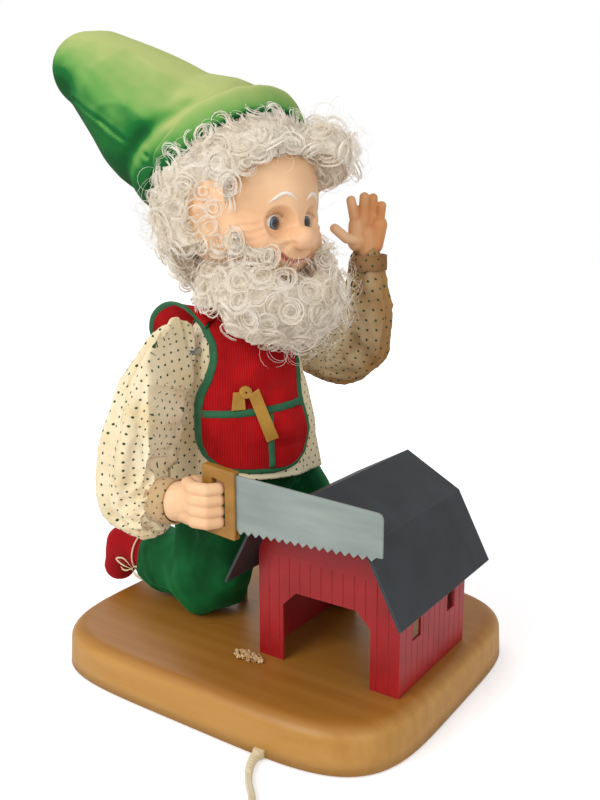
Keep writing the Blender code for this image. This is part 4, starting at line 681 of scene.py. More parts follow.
# %% Cloth materials
def pile_cloth(name, dark, light, roughness, sheen_code, sheen, scale=26, pile=1500):
    """Short-pile cloth: brushed patches in the colour, a fine bump and a coloured sheen."""
    made, tree, shader, where = finish(name, dark, roughness, Sheen_Weight=sheen, Sheen_Roughness=0.45,
                                       Sheen_Tint=colour(sheen_code), Specular_IOR_Level=0.2)
    tint, cloud = speckled(tree, where, scale, dark, light, detail=6)
    coloured(tree, shader, tint)
    bumped(tree, shader, noisy(tree, where, pile, 3.0), 0.35, 0.0006)
    return made, tree, shader, where, tint


# Velvet: very dark green that lights up at its edges. Felt: dull red with a faint pink bloom. Binding:
# plain green cotton, paler than the velvet. Lace: warm cream cord.
velvet = pile_cloth("dark_green_dress_velvet", "02401C", "096430", 0.75, "2AA05C", 0.55)[0]
boot_felt = pile_cloth("red_wool_felt", "8E060E", "AB0C14", 0.9, "E05058", 0.25)[0]
binding_green = pile_cloth("green_cotton_bias_binding", "265A3C", "3A7250", 0.85, "9AD0B0", 0.25,
                           pile=900)[0]
lace_cream = pile_cloth("cream_cotton_lace", "DCC9A0", "EFE2C2", 0.85, "FFF4DA", 0.2)[0]


def make_velour():
    """Hat velour: green, fading to yellow on top and deep green on faces turned down; partly real fading,
    partly painted light and shade.
    """
    made, tree, shader, where, tint = pile_cloth("green_velour_fading_and_painted_shade", "0B5522", "1A7434", 0.9,
                                                 "90C070", 0.08, 18)
    # Painted light and shade: the colour follows how far each face turns up, deep green below and yellow on
    # top.
    up = split(tree, add(tree, "NewGeometry").outputs["Normal"], "Z")
    wander = add(tree, "Math", {"operation": "MULTIPLY_ADD"},
                 {0: noisy(tree, where, 14.0, 3.0), 1: 0.9, 2: -0.45})
    fade_and_shade = add(tree, "Math", {"operation": "ADD"}, {0: up, 1: wander.outputs[0]})
    share = ranged(tree, fade_and_shade.outputs[0], -0.45, 0.75)
    fade_and_painted_shade = ramped(tree, share, [(0.0, "0A4A20"), (0.28, "1B7231"), (0.52, "6FAA52"), (1.0, "CBD284")])
    coloured(tree, shader, mixed(tree, 0.22, fade_and_painted_shade, tint))
    return made


def make_print(name, low, high):
    """Cotton printed with dark green dots: the UV map is in metres, so a dot stays its size."""
    made, tree, shader, where = finish(name, "EBD9B0", 0.85, Sheen_Weight=0.15, Specular_IOR_Level=0.2)
    flat = add(tree, "UVMap", {"uv_map": "cloth"})
    slant = add(tree, "Mapping", inputs={"Vector": flat.outputs["UV"],
                                         "Rotation": (0, 0, math.radians(45))})
    dots = add(tree, "TexVoronoi", {"voronoi_dimensions": "2D"},
               {"Vector": slant.outputs["Vector"], "Scale": 128.0, "Randomness": 0.12})
    ink = ranged(tree, dots.outputs["Distance"], 0.115, 0.160, 1.0, 0.0, "SMOOTHSTEP")
    tint, cloud = speckled(tree, where, 30, low, high)
    # Painted shade: the cloth is browned towards the far side, from 50 mm out.
    far = ranged(tree, split(tree, where, "Y"), 0.050, 0.085, curve="SMOOTHSTEP")
    far_side_shaded = mixed(tree, far, tint, colour("B0906A"), "MULTIPLY")
    coloured(tree, shader, mixed(tree, ink, far_side_shaded, colour("2C4A33")))
    bumped(tree, shader, noisy(tree, where, 1400.0, 2.0), 0.2, 0.0004)
    return made


WALE = 0.0020


def make_corduroy():
    """Red corduroy: upright wales 2 mm apart, drawn as a bump, with painted shade darkening the grooves
    between them.
    """
    made, tree, shader, where = finish("red_fine_wale_corduroy", "A80C12", 0.85, Sheen_Weight=0.2,
                                       Sheen_Roughness=0.5, Sheen_Tint=colour("FF5050"),
                                       Specular_IOR_Level=0.15)
    across = split(tree, add(tree, "UVMap", {"uv_map": "cloth"}).outputs["UV"], "X")
    phase = add(tree, "Math", {"operation": "MULTIPLY"}, {0: across, 1: 2 * math.pi / WALE})
    wave = add(tree, "Math", {"operation": "SINE"}, {0: phase.outputs[0]})
    wale = ranged(tree, wave.outputs[0], -1.0, 1.0)
    tint, cloud = speckled(tree, where, 24, "98060B", "CC161B")
    # Painted shade: the colour is multiplied down in the grooves between the wales.
    coloured(tree, shader, mixed(tree, 0.28, tint, wale, "MULTIPLY"))
    bumped(tree, shader, wale, 0.5, 0.0005)
    return made


# The shirt is fresh cream and its cuffs are browner; painted shade browns both towards the far arm.
velour = make_velour()
shirt_print = make_print("dotted_cream_cotton", "E3CFA2", "F2E4C4")
cuff_print = make_print("browner_dotted_cuff_cotton", "B8956A", "CDAE82")
corduroy = make_corduroy()
print("cloth materials ready")

# %% [markdown]
# ## Body of the shirt, and the tabard
# The torso narrows to the neck. One function gives its outline at any height, and the shirt, the
# tabard and the pocket are grids laid on it, each a little further out, so none can sink into another.

# %% Outline of the torso
TORSO_X, TORSO_BOTTOM, TORSO_TOP = -0.0460, 0.1800, 0.3240
SHARES = [0.0, 0.25, 0.30, 0.50, 0.68, 0.82, 0.91, 0.97, 1.0]
DEPTHS = [0.92, 1.0, 1.0, 0.94, 0.84, 0.72, 0.58, 0.42, 0.245]
WIDTHS = [0.95, 1.0, 1.0, 0.99, 0.98, 0.96, 0.84, 0.58, 0.257]
AHEAD = [0.0, 0.0, 0.0, -0.001, -0.003, -0.005, -0.007, -0.008, -0.008]
FACING = math.radians(52)
OUT = Vector((math.sin(FACING), -math.cos(FACING), 0))
LEFT = Vector((math.cos(FACING), math.sin(FACING), 0))


def torso_at(z, grow):
    """Half depth, half width and centre x of the body at a height, grown outwards."""
    share = min(1.0, max(0.0, (z - TORSO_BOTTOM) / (TORSO_TOP - TORSO_BOTTOM)))
    flare = 0.0080 * max(0.0, 1 - share / 0.2)
    a = 0.0570 * float(np.interp(share, SHARES, DEPTHS)) + grow + flare
    b = 0.0545 * float(np.interp(share, SHARES, WIDTHS)) + grow
    return a, b, TORSO_X + float(np.interp(share, SHARES, AHEAD))


def chest_point(s, z, grow, side=1):
    """Point of the body's surface s to the figure's left of its middle line, on the front or back."""
    a, b, centre = torso_at(z, grow)
    p = Vector((TORSO_X - centre, 0, 0)) + LEFT * s
    qa = (OUT.x / a) ** 2 + (OUT.y / b) ** 2
    qb = 2 * (p.x * OUT.x / a ** 2 + p.y * OUT.y / b ** 2)
    qc = (p.x / a) ** 2 + (p.y / b) ** 2 - 1
    root = math.sqrt(max(0.0, qb * qb - 4 * qa * qc))
    t = (-qb + side * root) / (2 * qa)
    p = p + OUT * t
    return row(centre + p.x, p.y, z)


print("chest point", tuple(round(c, 4) for c in chest_point(0, 0.25, 0.003)))


# %% Shirt body
def shirt_place(u, v):
    turn = 2 * math.pi * u
    low_side = 0.0150 * (1 - v) ** 3 * math.exp(-((math.degrees(turn) - 233) / 27) ** 2)
    z = TORSO_BOTTOM + (TORSO_TOP + 0.002 - TORSO_BOTTOM) * v
    a, b, centre = torso_at(z, 0.0016)
    z -= low_side
    fold = noise.noise(Vector((math.cos(turn) * 3.2, math.sin(turn) * 3.2, v * 1.5)))
    low = max(0.0, 1 - v / 0.45)
    grow = 0.0006 + 0.0030 * low * (0.5 + 0.8 * fold) + 0.0009 * fold * (1 - low)
    tail = math.exp(-((math.degrees(turn) - 42) / 20) ** 2)
    grow += 0.0150 * max(0.0, 1 - v / 0.58) * tail
    behind_arm = 0.0135 * max(0.0, 1 - v / 0.50) ** 0.7 * math.exp(-((math.degrees(turn) - 229) / 19) ** 2)
    x = (a + grow + behind_arm) * math.cos(turn)
    y = max(-0.0609, min(0.0609, (b + min(grow, 0.001) + behind_arm) * math.sin(turn)))
    return row(centre + x, y, z)


bm = thickened(laid(150, 90, shirt_place, closed=True, size=(0.36, 0.15)), 0.0011)
shirt = piece("shirt", bm, shirt_print, "stand", ("shirt_body",))
print("shirt faces", len(shirt.data.polygons))

# %% Tabard panels
HEM, BIB_TOP, POCKET_TOP = 0.1885, 0.3215, 0.2410
BIB_Z = [0.1885, 0.1900, 0.1930, 0.2000, 0.2100, 0.2200, 0.2330,
         0.2450, 0.2550, 0.2690, 0.2840, 0.2980, 0.3090, 0.3215]
BIB_RIGHT = [0.0120, 0.0290, 0.0390, 0.0465, 0.0505, 0.0513, 0.0513,
             0.0510, 0.0490, 0.0432, 0.0392, 0.0392, 0.0425, 0.0450]
BIB_LEFT = [0.0080, 0.0180, 0.0310, 0.0400, 0.0445, 0.0455, 0.0425,
            0.0388, 0.0380, 0.0395, 0.0405, 0.0415, 0.0430, 0.0445]


def bib_side(z, side):
    """How far the tabard reaches at a height, to the figure's right (-1) or left (1)."""
    return float(np.interp(z, BIB_Z, BIB_LEFT if side > 0 else BIB_RIGHT))


def ripple(s, z, side):
    """Soft waves of the worn cloth, the same for the panel, the pocket and the tape on them."""
    return 0.0014 * noise.noise(Vector((s * 42, z * 24, side * 5.0)))


def panel(low, high, grow, thick, side=1, inset=0.0):
    """Cloth on the chest between the tabard's side lines, with its UV map in metres across and up."""
    def on_cloth(u, v):
        z = low + (high - low) * v
        right, left = bib_side(z, -1) - inset, bib_side(z, 1) - inset
        return u * (right + left) - right, z

    def on_chest(u, v):
        s, z = on_cloth(u, v)
        return chest_point(s, z, grow + ripple(s, z, side), side)

    return thickened(laid(90, 120, on_chest, flat=on_cloth), thick)


front = piece("tabard_front", panel(HEM, BIB_TOP, 0.0046, 0.0013), corduroy, "stand",
              ("vest",))
behind = piece("tabard_back", panel(HEM, BIB_TOP, 0.0046, 0.0013, side=-1), corduroy, "stand")
bm = panel(HEM + 0.002, POCKET_TOP, 0.0064, 0.0012, inset=0.0015)
pouch = piece("tabard_pocket", bm, corduroy, "stand", ("vest_pocket",))
print("tabard panels:", len(front.data.polygons) + len(behind.data.polygons) + len(pouch.data.polygons),
      "faces")


# %% Bias binding
def edge_route(low=HEM, high=BIB_TOP):
    """Outline of a tabard panel in (s, z): down one side, round the hem and up the other."""
    heights = list(high - (high - low) * np.linspace(0, 1, 90) ** 0.8)
    left = [(bib_side(z, 1), z) for z in heights]
    right = [(-bib_side(z, -1), z) for z in heights]
    hem = [(s, low) for s in np.linspace(left[-1][0], right[-1][0], 8)[1:-1]]
    return left + hem + right[::-1]


def binding(name, route, grow, side=1, width=0.0056, height=0.0016):
    """Folded tape sewn along a line on the chest: a low rounded ridge."""
    points = [Vector((s, z)) for s, z in route]

    def place_point(u, v):
        i = round(v * (len(points) - 1))
        ahead = (points[min(i + 2, len(points) - 1)] - points[max(i - 2, 0)]).normalized()
        across = Vector((-ahead.y, ahead.x))
        offset = (u - 0.5) * width
        point = points[i] + across * offset
        lift = height * math.sqrt(max(0.0, 1 - (2 * u - 1) ** 2)) + 0.0003 * math.sin(i * 0.9)
        return chest_point(point.x, point.y, grow + lift + ripple(point.x, point.y, side), side)

    bm = thickened(laid(8, len(points) - 1, place_point, size=(width, len(points) * 0.002)), 0.0008)
    return piece(name, bm, binding_green, "stand")


front_tape = binding("front_binding", edge_route(), 0.0048)
back_tape = binding("back_binding", edge_route(), 0.0048, side=-1)
pocket_line = [(s, 0.2372 + 0.0086 * (s + 0.0495) / 0.0863) for s in np.linspace(-0.0495, 0.0375, 50)]
pocket_tape = binding("pocket_binding", pocket_line, 0.0066, width=0.0060)
divider = [(0.0067 - 0.0016 * (z - 0.1909) / 0.05, z) for z in np.linspace(0.1915, 0.2390, 24)]
divider_tape = binding("pocket_divider", divider, 0.0066, width=0.0052)


def strap_place(u, v):
    """Side strap of the tabard: from the front panel round under the arm to the back panel."""
    turn = math.radians(203 + 58 * u)
    z = 0.2432 + 0.0064 * v
    a, b, centre = torso_at(z, 0.0030 + 0.0004 * math.sin(9 * u))
    return row(centre + a * math.cos(turn), max(-0.0609, b * math.sin(turn)), z)


bm = thickened(laid(30, 4, strap_place, size=(0.058, 0.0064)), 0.0010)
strap = piece("tabard_strap", bm, lace_cream, "stand")
print("bindings sewn on")


# %% Folding rule in the pocket
RULE_FRONT = [(-0.0143, 0.2566), (0.0012, 0.2147), (0.0114, 0.2187), (-0.0055, 0.2625)]
RULE_BACK = [(-0.0281, 0.2432), (-0.0160, 0.2438), (-0.0170, 0.2592), (-0.0263, 0.2592)]
RULE_RIVET = (-0.0163, 0.2594)
RULE_OUT = 0.0612


def rule_point(s, z, out):
    """The rule is stiff and flat: one plane before the chest, turned to the figure's right."""
    return row(TORSO_X + OUT.x * out + LEFT.x * s, OUT.y * out + LEFT.y * s, z) + OUT * 0.16 * s


def rule_leg(corners, out, thick):
    a, b, c, d = [rule_point(s, z, out) for s, z in corners]
    bm = laid(1, 1, lambda u, v: a.lerp(b, u).lerp(d.lerp(c, u), v))
    return settled(bm, ("SOLIDIFY", {"thickness": thick, "offset": 0.0}),
                   ("BEVEL", {"width": 0.0004, "segments": 2, "limit_method": "ANGLE"}))


bm = rule_leg(RULE_FRONT, RULE_OUT + 0.0036, 0.0018)
merged(bm, rule_leg(RULE_BACK, RULE_OUT + 0.0008, 0.0016))
rivet = spun([(0.0011, 0), (0.0050, 0), (0.0054, 0.0006), (0.0054, 0.0040), (0.0050, 0.0046),
              (0.0011, 0.0046)], 40)
facing = OUT.to_track_quat("Z", "Y").to_matrix().to_4x4()
moved(rivet, Matrix.Translation(rule_point(*RULE_RIVET, RULE_OUT)) @ facing)
merged(bm, rivet)
bmesh.ops.recalc_face_normals(bm, faces=bm.faces)
rule = piece("pocket_rule", bm, rule_paint, "stand", ("folding_rule",), smooth=False)
print("rule faces", len(rule.data.polygons))


# %% Shoulder flange behind the right arm
FLANGE = [(-0.0480, -0.0535, 0.3120), (-0.0650, -0.0530, 0.3235), (-0.0800, -0.0510, 0.3295),
          (-0.0930, -0.0500, 0.3310), (-0.1100, -0.0450, 0.3255), (-0.1240, -0.0400, 0.3150),
          (-0.1310, -0.0350, 0.3020), (-0.1310, -0.0300, 0.2900)]
FLANGE_ROOT = [(-0.0470, -0.0440, 0.3180), (-0.0560, -0.0330, 0.3250), (-0.0680, -0.0250, 0.3240),
               (-0.0760, -0.0240, 0.3180), (-0.0850, -0.0240, 0.3080), (-0.0920, -0.0220, 0.2980),
               (-0.0960, -0.0210, 0.2900), (-0.0985, -0.0200, 0.2820)]


def flange_place(u, v):
    swell = math.sin(math.pi * v)
    flat = at_share(inner, u)[0].lerp(at_share(outer, u)[0], v)
    return flat + Vector((0, -0.0035 * swell, 0.0015 * swell))


outer = [row(*p) for p in eased(FLANGE, 8)]
inner = [row(*p) for p in eased(FLANGE_ROOT, 8)]
bm = thickened(laid(70, 16, flange_place, size=(0.13, 0.04)), 0.0012)
flange = piece("tabard_shoulder", bm, corduroy, "stand")


def flange_edge(u, v):
    """Tape folded over the free edge of the flange, as a flat oval carried along it."""
    edge, ahead = at_share(outer, v)
    inwards = (at_share(inner, v)[0] - edge).normalized()
    through = ahead.cross(inwards).normalized()
    turn = 2 * math.pi * u
    return edge + inwards * (0.0022 + 0.0034 * math.cos(turn)) + through * 0.0016 * math.sin(turn)


bm = closed_up(laid(14, 110, flange_edge, closed=True, size=(0.014, 0.13)))
flange_binding = piece("shoulder_binding", bm, binding_green, "stand")
print("flange", len(flange.data.polygons), "area", round(sum(f.area for f in flange.data.polygons) / 2, 5))

# %% [markdown]
# ## Sleeves
# Each sleeve is a full tube of cotton that swells at the elbow and is gathered into a band at the
# wrist. It starts as a fused skin, is cut open and unrolled for its UV map in metres, and settles as
# cloth. Then every point is moved along its normal: long folds run with the arm, and short gathers fade
# away from the cuff.

# %% Settling cloth under its own weight
def let_settle(bm, held, extra, pressure, weight, most, frames=18):
    """Cloth with some extra length, held where held(point) is true, sags and buckles into folds."""
    rest = [v.co.copy() for v in bm.verts]
    mesh = bpy.data.meshes.new("cloth")
    bm.to_mesh(mesh)
    obj = placed("cloth", mesh)
    group = obj.vertex_groups.new(name="held")
    group.add([i for i, point in enumerate(rest) if held(point)], 1.0, "ADD")
    cloth = obj.modifiers.new("cloth", "CLOTH")
    wanted = {"quality": 8, "mass": 0.15, "tension_stiffness": 12, "compression_stiffness": 12,
              "shear_stiffness": 4, "bending_stiffness": 0.3, "shrink_min": -extra,
              "vertex_group_mass": "held", "use_pressure": True, "uniform_pressure_force": pressure}
    for name, value in wanted.items():
        setattr(cloth.settings, name, value)
    cloth.settings.effector_weights.gravity = weight
    cloth.collision_settings.use_collision = False
    cloth.point_cache.frame_end = frames
    scene = bpy.context.scene
    for frame_number in range(1, frames + 1):
        scene.frame_set(frame_number)
    settled_mesh = obj.evaluated_get(bpy.context.evaluated_depsgraph_get()).to_mesh()
    ends = [v.co.copy() for v in settled_mesh.vertices]
    scene.frame_set(1)
    bpy.data.objects.remove(obj, do_unlink=True)
    bpy.data.meshes.remove(mesh)
    for vert, start, end in zip(bm.verts, rest, ends):
        move = end - start
        vert.co = start + move * (most / (most + move.length))
    return bm


# %% Sleeve maker
RIGHT_SLEEVE = [((-0.054, -0.066, 0.292), 0.029), ((-0.066, -0.083, 0.293), 0.031),
                ((-0.079, -0.095, 0.257), 0.035),
                ((-0.086, -0.105, 0.212), 0.038), ((-0.090, -0.108, 0.174), 0.034),
                ((-0.076, -0.110, 0.162), 0.028),
                ((-0.062, -0.110, 0.168), 0.0235), ((-0.046, -0.110, 0.171), 0.0215)]
LEFT_SLEEVE = [((-0.054, 0.066, 0.292), 0.027), ((-0.030, 0.078, 0.290), 0.030),
               ((0.004, 0.088, 0.278), 0.031),
               ((0.024, 0.090, 0.290), 0.028), ((0.032, 0.090, 0.322), 0.024),
               ((0.034, 0.088, 0.350), 0.018),
               ((0.033, 0.087, 0.367), 0.0155)]
ARM_PLANE = 0.0615


def arm_coordinates(points, chain):
    """For each point: distance along the arm, and angle round it."""
    route = np.array([row(*centre) for centre, radius in chain])
    route = np.array(eased([Vector(p) for p in route], 8))
    lengths = np.concatenate([[0], np.cumsum(np.linalg.norm(np.diff(route, axis=0), axis=1))])
    nearest = ((points[:, None, :] - route[None]) ** 2).sum(2).argmin(1)
    ahead = np.gradient(route, axis=0)
    ahead /= np.linalg.norm(ahead, axis=1)[:, None]
    side = np.cross(ahead, np.array([0.56, -0.83, 0.02]))
    side /= np.linalg.norm(side, axis=1)[:, None]
    up = np.cross(side, ahead)
    reach = points - route[nearest]
    along = lengths[nearest] + (reach * ahead[nearest]).sum(1)
    angle = np.arctan2((reach * side[nearest]).sum(1), (reach * up[nearest]).sum(1))
    return along, angle, lengths[-1]


# Away from the photograph's camera.
AWAY = Vector((-0.56, 0.83, 0))


def cut_along(bm, starts, ends):
    """Mark a seam: the shortest way over the mesh from rim to rim, on the side that faces away."""
    heap = [(0.0, vert.index, -1) for vert in starts]
    before = {}
    bm.verts.ensure_lookup_table()
    while heap:
        cost, index, last = heapq.heappop(heap)
        if index in before:
            continue
        before[index] = last
        if index in ends:
            break
        for edge in bm.verts[index].link_edges:
            other = edge.other_vert(bm.verts[index])
            step = edge.calc_length() * (1.15 - other.normal.dot(AWAY))
            heapq.heappush(heap, (cost + step, other.index, index))
    while before[index] >= 0:
        bm.edges.get((bm.verts[index], bm.verts[before[index]])).seam = True
        index = before[index]


def unrolled(bm, at_shoulder, at_wrist):
    """Cut a tube at both ends and along the side that faces away, unwrap it, scale the map to metres."""
    bm.loops.layers.uv.new("cloth")
    bm.normal_update()
    bm.faces.index_update()
    middles = [f.calc_center_median() for f in bm.faces]
    half = [1 if at_shoulder(p) else 2 if at_wrist(p) else 0 for p in middles]
    rims = {1: set(), 2: set()}
    for edge in bm.edges:
        sides = {half[face.index] for face in edge.link_faces}
        if len(sides) == 2:
            edge.seam = True
            rims[max(sides)].update(edge.verts)
    cut_along(bm, rims[1], {vert.index for vert in rims[2]})
    mesh = as_mesh("tube", bm)
    obj = placed("tube", mesh)
    for other in bpy.context.selected_objects:
        other.select_set(False)
    bpy.context.view_layer.objects.active = obj
    obj.select_set(True)
    bpy.ops.object.mode_set(mode="EDIT")
    bpy.ops.mesh.select_all(action="SELECT")
    bpy.ops.uv.unwrap(method="MINIMUM_STRETCH", margin=0.0)
    bpy.ops.object.mode_set(mode="OBJECT")
    bm = bmesh.new()
    bm.from_mesh(mesh)
    bpy.data.objects.remove(obj, do_unlink=True)
    bpy.data.meshes.remove(mesh)
    layer = bm.loops.layers.uv["cloth"]
    solid = drawn = 0.0
    bm.faces.ensure_lookup_table()
    for face in bm.faces:
        if half[face.index] == 0:
            corners = [loop[layer].uv for loop in face.loops]
            drawn += abs(sum(p.x * q.y - q.x * p.y for p, q in zip(corners, corners[1:] + corners[:1]))) / 2
            solid += face.calc_area()
    scale = math.sqrt(solid / drawn)
    for face in bm.faces:
        for loop in face.loops:
            loop[layer].uv *= scale
    print("unwrapped at", round(scale, 3), "m to the map's unit")
    return bm


def make_sleeve(name, chain, sign, node, seed, wrist_plane=None):
    bm = trimmed(limb([chain], 0.0040, 6), Vector((0, sign * (ARM_PLANE + 0.0003), 0)),
                 Vector((0, -sign, 0)))
    # This plane runs through the whole skin: it ends the right sleeve at the wrist, and it also takes the
    # front off its shoulder, so that the end of the shoulder shaft shows there.
    if wrist_plane:
        trimmed(bm, *wrist_plane)
    bmesh.ops.dissolve_degenerate(bm, dist=0.0012, edges=bm.edges)
    bmesh.ops.triangulate(bm, faces=[f for f in bm.faces if len(f.verts) > 4])
    bm.verts.index_update()
    points = np.array([v.co for v in bm.verts])
    along, angle, total = arm_coordinates(points, chain)
    shaft = row(-0.054, 0, 0.292)
    for vert in bm.verts:
        near = smoothstep(1 - (abs(vert.co.y) - ARM_PLANE) / 0.020)
        vert.co.x = shaft.x + (vert.co.x - shaft.x) * (1 - 0.22 * near)
        vert.co.z = shaft.z + (vert.co.z - shaft.z) * (1 - 0.12 * near)
    wrist = row(*chain[-1][0])
    end = wrist_plane[0] if wrist_plane else wrist
    out = wrist_plane[1] if wrist_plane else Vector((0, 0, 1))
    bm = unrolled(bm, lambda p: abs(p.y) < ARM_PLANE + 0.0006, lambda p: (p - end).dot(out) > -0.0002)
    let_settle(bm, lambda p: abs(p.y) < ARM_PLANE + 0.006 or (p - wrist).length < 0.024, 0.18, 0.5, 0.6,
               0.011)
    bm.normal_update()
    for vert, far, turn in zip(bm.verts, along, angle):
        c, s = math.cos(turn), math.sin(turn)
        drape = noise.noise(Vector((c * 2.3, s * 2.3, far * 8 + seed)))
        ridge = math.sqrt(noise.noise(Vector((c * 2.4, s * 2.4, far * 13 + seed * 7))) ** 2 + 0.002)
        from_cuff = max(0.0, total - 0.010 - far)
        gather = math.exp(-from_cuff / 0.026) * math.sin(turn * 13)
        free = smoothstep((abs(vert.co.y) - ARM_PLANE) / 0.010)
        vert.co += vert.normal * (0.0105 * drape - 0.0100 * ridge + 0.0018 * gather) * free
    bm = subdivided(bm, 2)
    bm.normal_update()
    for vert in bm.verts:
        vert.co += vert.normal * 0.0006 * noise.noise(vert.co * 160)
    obj = piece(name, bm, shirt_print, "arms", (node,))
    return obj


sleeve_right = make_sleeve("cotton_sleeve_right", RIGHT_SLEEVE, -1, "sleeve_right", 2.0,
                           (row(-0.0510, 0, 0), Vector((1, 0, 0))))
sleeve_left = make_sleeve("cotton_sleeve_left", LEFT_SLEEVE, 1, "sleeve_left", 7.0)
print("sleeve faces", len(sleeve_right.data.polygons), len(sleeve_left.data.polygons))


# %% Cuff bands
def cuff(name, centre, toward, radius, width):
    """Plain band at the wrist: a spun strip with rounded edges."""
    bm = spun([(radius - 0.0016, 0), (radius, 0.0006), (radius + 0.0003, width / 2),
               (radius, width - 0.0006), (radius - 0.0016, width)], 48, closed=False)
    layer = bm.loops.layers.uv.new("cloth")
    for face in bm.faces:
        for loop in face.loops:
            turn = math.atan2(loop.vert.co.y, loop.vert.co.x)
            loop[layer].uv = (turn * radius, loop.vert.co.z)
    facing = Vector(toward).to_track_quat("Z", "Y").to_matrix().to_4x4()
    moved(bm, Matrix.Translation(row(*centre)) @ facing)
    bmesh.ops.recalc_face_normals(bm, faces=bm.faces)
    return piece(name, thickened(bm, 0.0008, -1.0), cuff_print, "arms")


cuff_right = cuff("cuff_right", (-0.0570, -0.110, 0.1712), (1.0, 0.0, 0.08), 0.0192, 0.0215)
cuff_left = cuff("cuff_left", (0.0333, 0.0873, 0.3560), (-0.02, -0.03, 1.0), 0.0162, 0.0150)
print("cuffs on")

# %% [markdown]
# ## Trousers and boots
# The trousers are padded velvet: a bent knee, a raised knee and a seat. The boots are red felt with a
# cream lace. They are fused skins with soft folds.


# %% Trousers
def long_folds(bm, depth):
    """Soft folds that run down and forward along the kneeling leg."""
    bm.normal_update()
    for vert in bm.verts:
        across, down = 0.9 * vert.co.x + 0.45 * vert.co.z, 0.45 * vert.co.x - 0.9 * vert.co.z
        vert.co += vert.normal * depth * noise.noise(Vector((across * 62, down * 11, vert.co.y * 24)))


def rumpled(bm, depth, scale, seed):
    bm.normal_update()
    for vert in bm.verts:
        p = vert.co * scale
        fold = abs(noise.noise(p + Vector((seed, 0, 0)))) * -1.0 + 0.25
        soft = noise.noise(p * 0.45 + Vector((0, seed, 0)))
        vert.co += vert.normal * depth * (fold + 0.6 * soft)
    return bm


TROUSER_RIGHT = [((-0.054, -0.022, 0.176), 0.033), ((-0.062, -0.030, 0.125), 0.036),
                 ((-0.070, -0.033, 0.079), 0.039),
                 ((-0.110, -0.031, 0.075), 0.031), ((-0.150, -0.027, 0.073), 0.023),
                 ((-0.176, -0.025, 0.073), 0.021)]
TROUSER_LEFT = [((-0.050, 0.022, 0.172), 0.034), ((-0.030, 0.042, 0.158), 0.031),
                ((-0.012, 0.050, 0.139), 0.027),
                ((-0.018, 0.051, 0.110), 0.020), ((-0.021, 0.052, 0.070), 0.019)]
SEAT = [((-0.038, 0.000, 0.178), 0.044), ((-0.062, 0.000, 0.180), 0.044)]
bm = limb([TROUSER_RIGHT, TROUSER_LEFT, SEAT], 0.0045, 6)
let_settle(bm, lambda p: p.z > TORSO_BOTTOM or p.x < FRAME_X - 0.130 or p.z < BASE_TOP + 0.003, 0.14, 1.5,
           0.3, 0.005)
rumpled(bm, 0.0100, 25, 3.0)
bm = subdivided(bm, 2)
trimmed(bm, row(0, 0, BASE_TOP + 0.0004), Vector((0, 0, -1)))
trimmed(bm, row(0, 0, TORSO_BOTTOM - 0.0005), Vector((0, 0, 1)))
long_folds(bm, 0.0046)
trimmed(bm, row(-0.140, 0, 0), Vector((-1, 0, 0)))
trousers = piece("velvet_trousers", bm, velvet, "stand", ("trousers",))
print("trousers faces", len(trousers.data.polygons))

# %% Boots
bm = limb([[((-0.132, -0.027, 0.0735), 0.0190), ((-0.160, -0.025, 0.0735), 0.0208),
            ((-0.187, -0.025, 0.0755), 0.0190),
            ((-0.1965, -0.024, 0.0500), 0.0165)]],
          0.0014, 6)
trimmed(bm, row(-0.134, 0, 0), Vector((1, 0, 0)))
boot_right = piece("felt_boot_right", rumpled(bm, 0.0008, 60, 1.0), boot_felt, "stand",
                   ("boot_right",))
bm = limb([[((-0.022, 0.052, 0.078), 0.0185), ((-0.024, 0.052, 0.055), 0.019),
            ((0.002, 0.052, 0.048), 0.0135)]],
          0.0014, 6)
trimmed(bm, row(0, 0, BASE_TOP + 0.0003), Vector((0, 0, -1)))
trimmed(bm, row(0, 0, 0.0760), Vector((0, 0, 1)))
boot_left = piece("felt_boot_left", rumpled(bm, 0.0006, 60, 2.0), boot_felt, "stand",
                  ("boot_left",))
print("boots", len(boot_right.data.polygons), len(boot_left.data.polygons))

# %% [markdown]
# ## Hat
# A long stocking hat in velour leans back. Its mouth is turned up into a soft band. The hat is a fused
# skin cut at the mouth; the band is a profile spun round the mouth and pulled about a little.

# %% Hat and its turned-up band
HEAD_TURN = Matrix.Translation(row(-0.054, 0, 0)) @ Matrix.Rotation(math.radians(-12), 4, "Z")
HEAD_BACK = HEAD_TURN.inverted()
HEAD_LOCAL = Matrix.Translation((-0.054, 0, 0)) @ Matrix.Rotation(math.radians(-12), 4, "Z")
HAT_TILT = math.radians(40)
HAT_AXIS = Vector((-math.sin(HAT_TILT), 0, math.cos(HAT_TILT)))
HAT_MOUTH = Vector((-0.0160, 0.0, 0.4590))
HAT_CHAIN = [((-0.0180, 0.000, 0.4570), 0.0690), ((-0.0490, -0.010, 0.4640), 0.0655),
             ((-0.0750, -0.026, 0.4870), 0.0590), ((-0.1020, -0.041, 0.5140), 0.0478),
             ((-0.1210, -0.052, 0.5320), 0.0390), ((-0.1360, -0.060, 0.5370), 0.0335)]
HAT_SEAM = [(-0.1210, -0.0861, 0.5080), (-0.0901, -0.0862, 0.4920), (-0.0735, -0.0848, 0.4827),
            (-0.0531, -0.0794, 0.4685), (-0.0307, -0.0727, 0.4555)]


def from_head(point):
    """Head coordinates (ahead, left, up) to a point measured from the base's middle."""
    return tuple(HEAD_LOCAL @ Vector(point))


def in_head(point):
    """A point of the frame in head coordinates."""
    return HEAD_BACK @ point


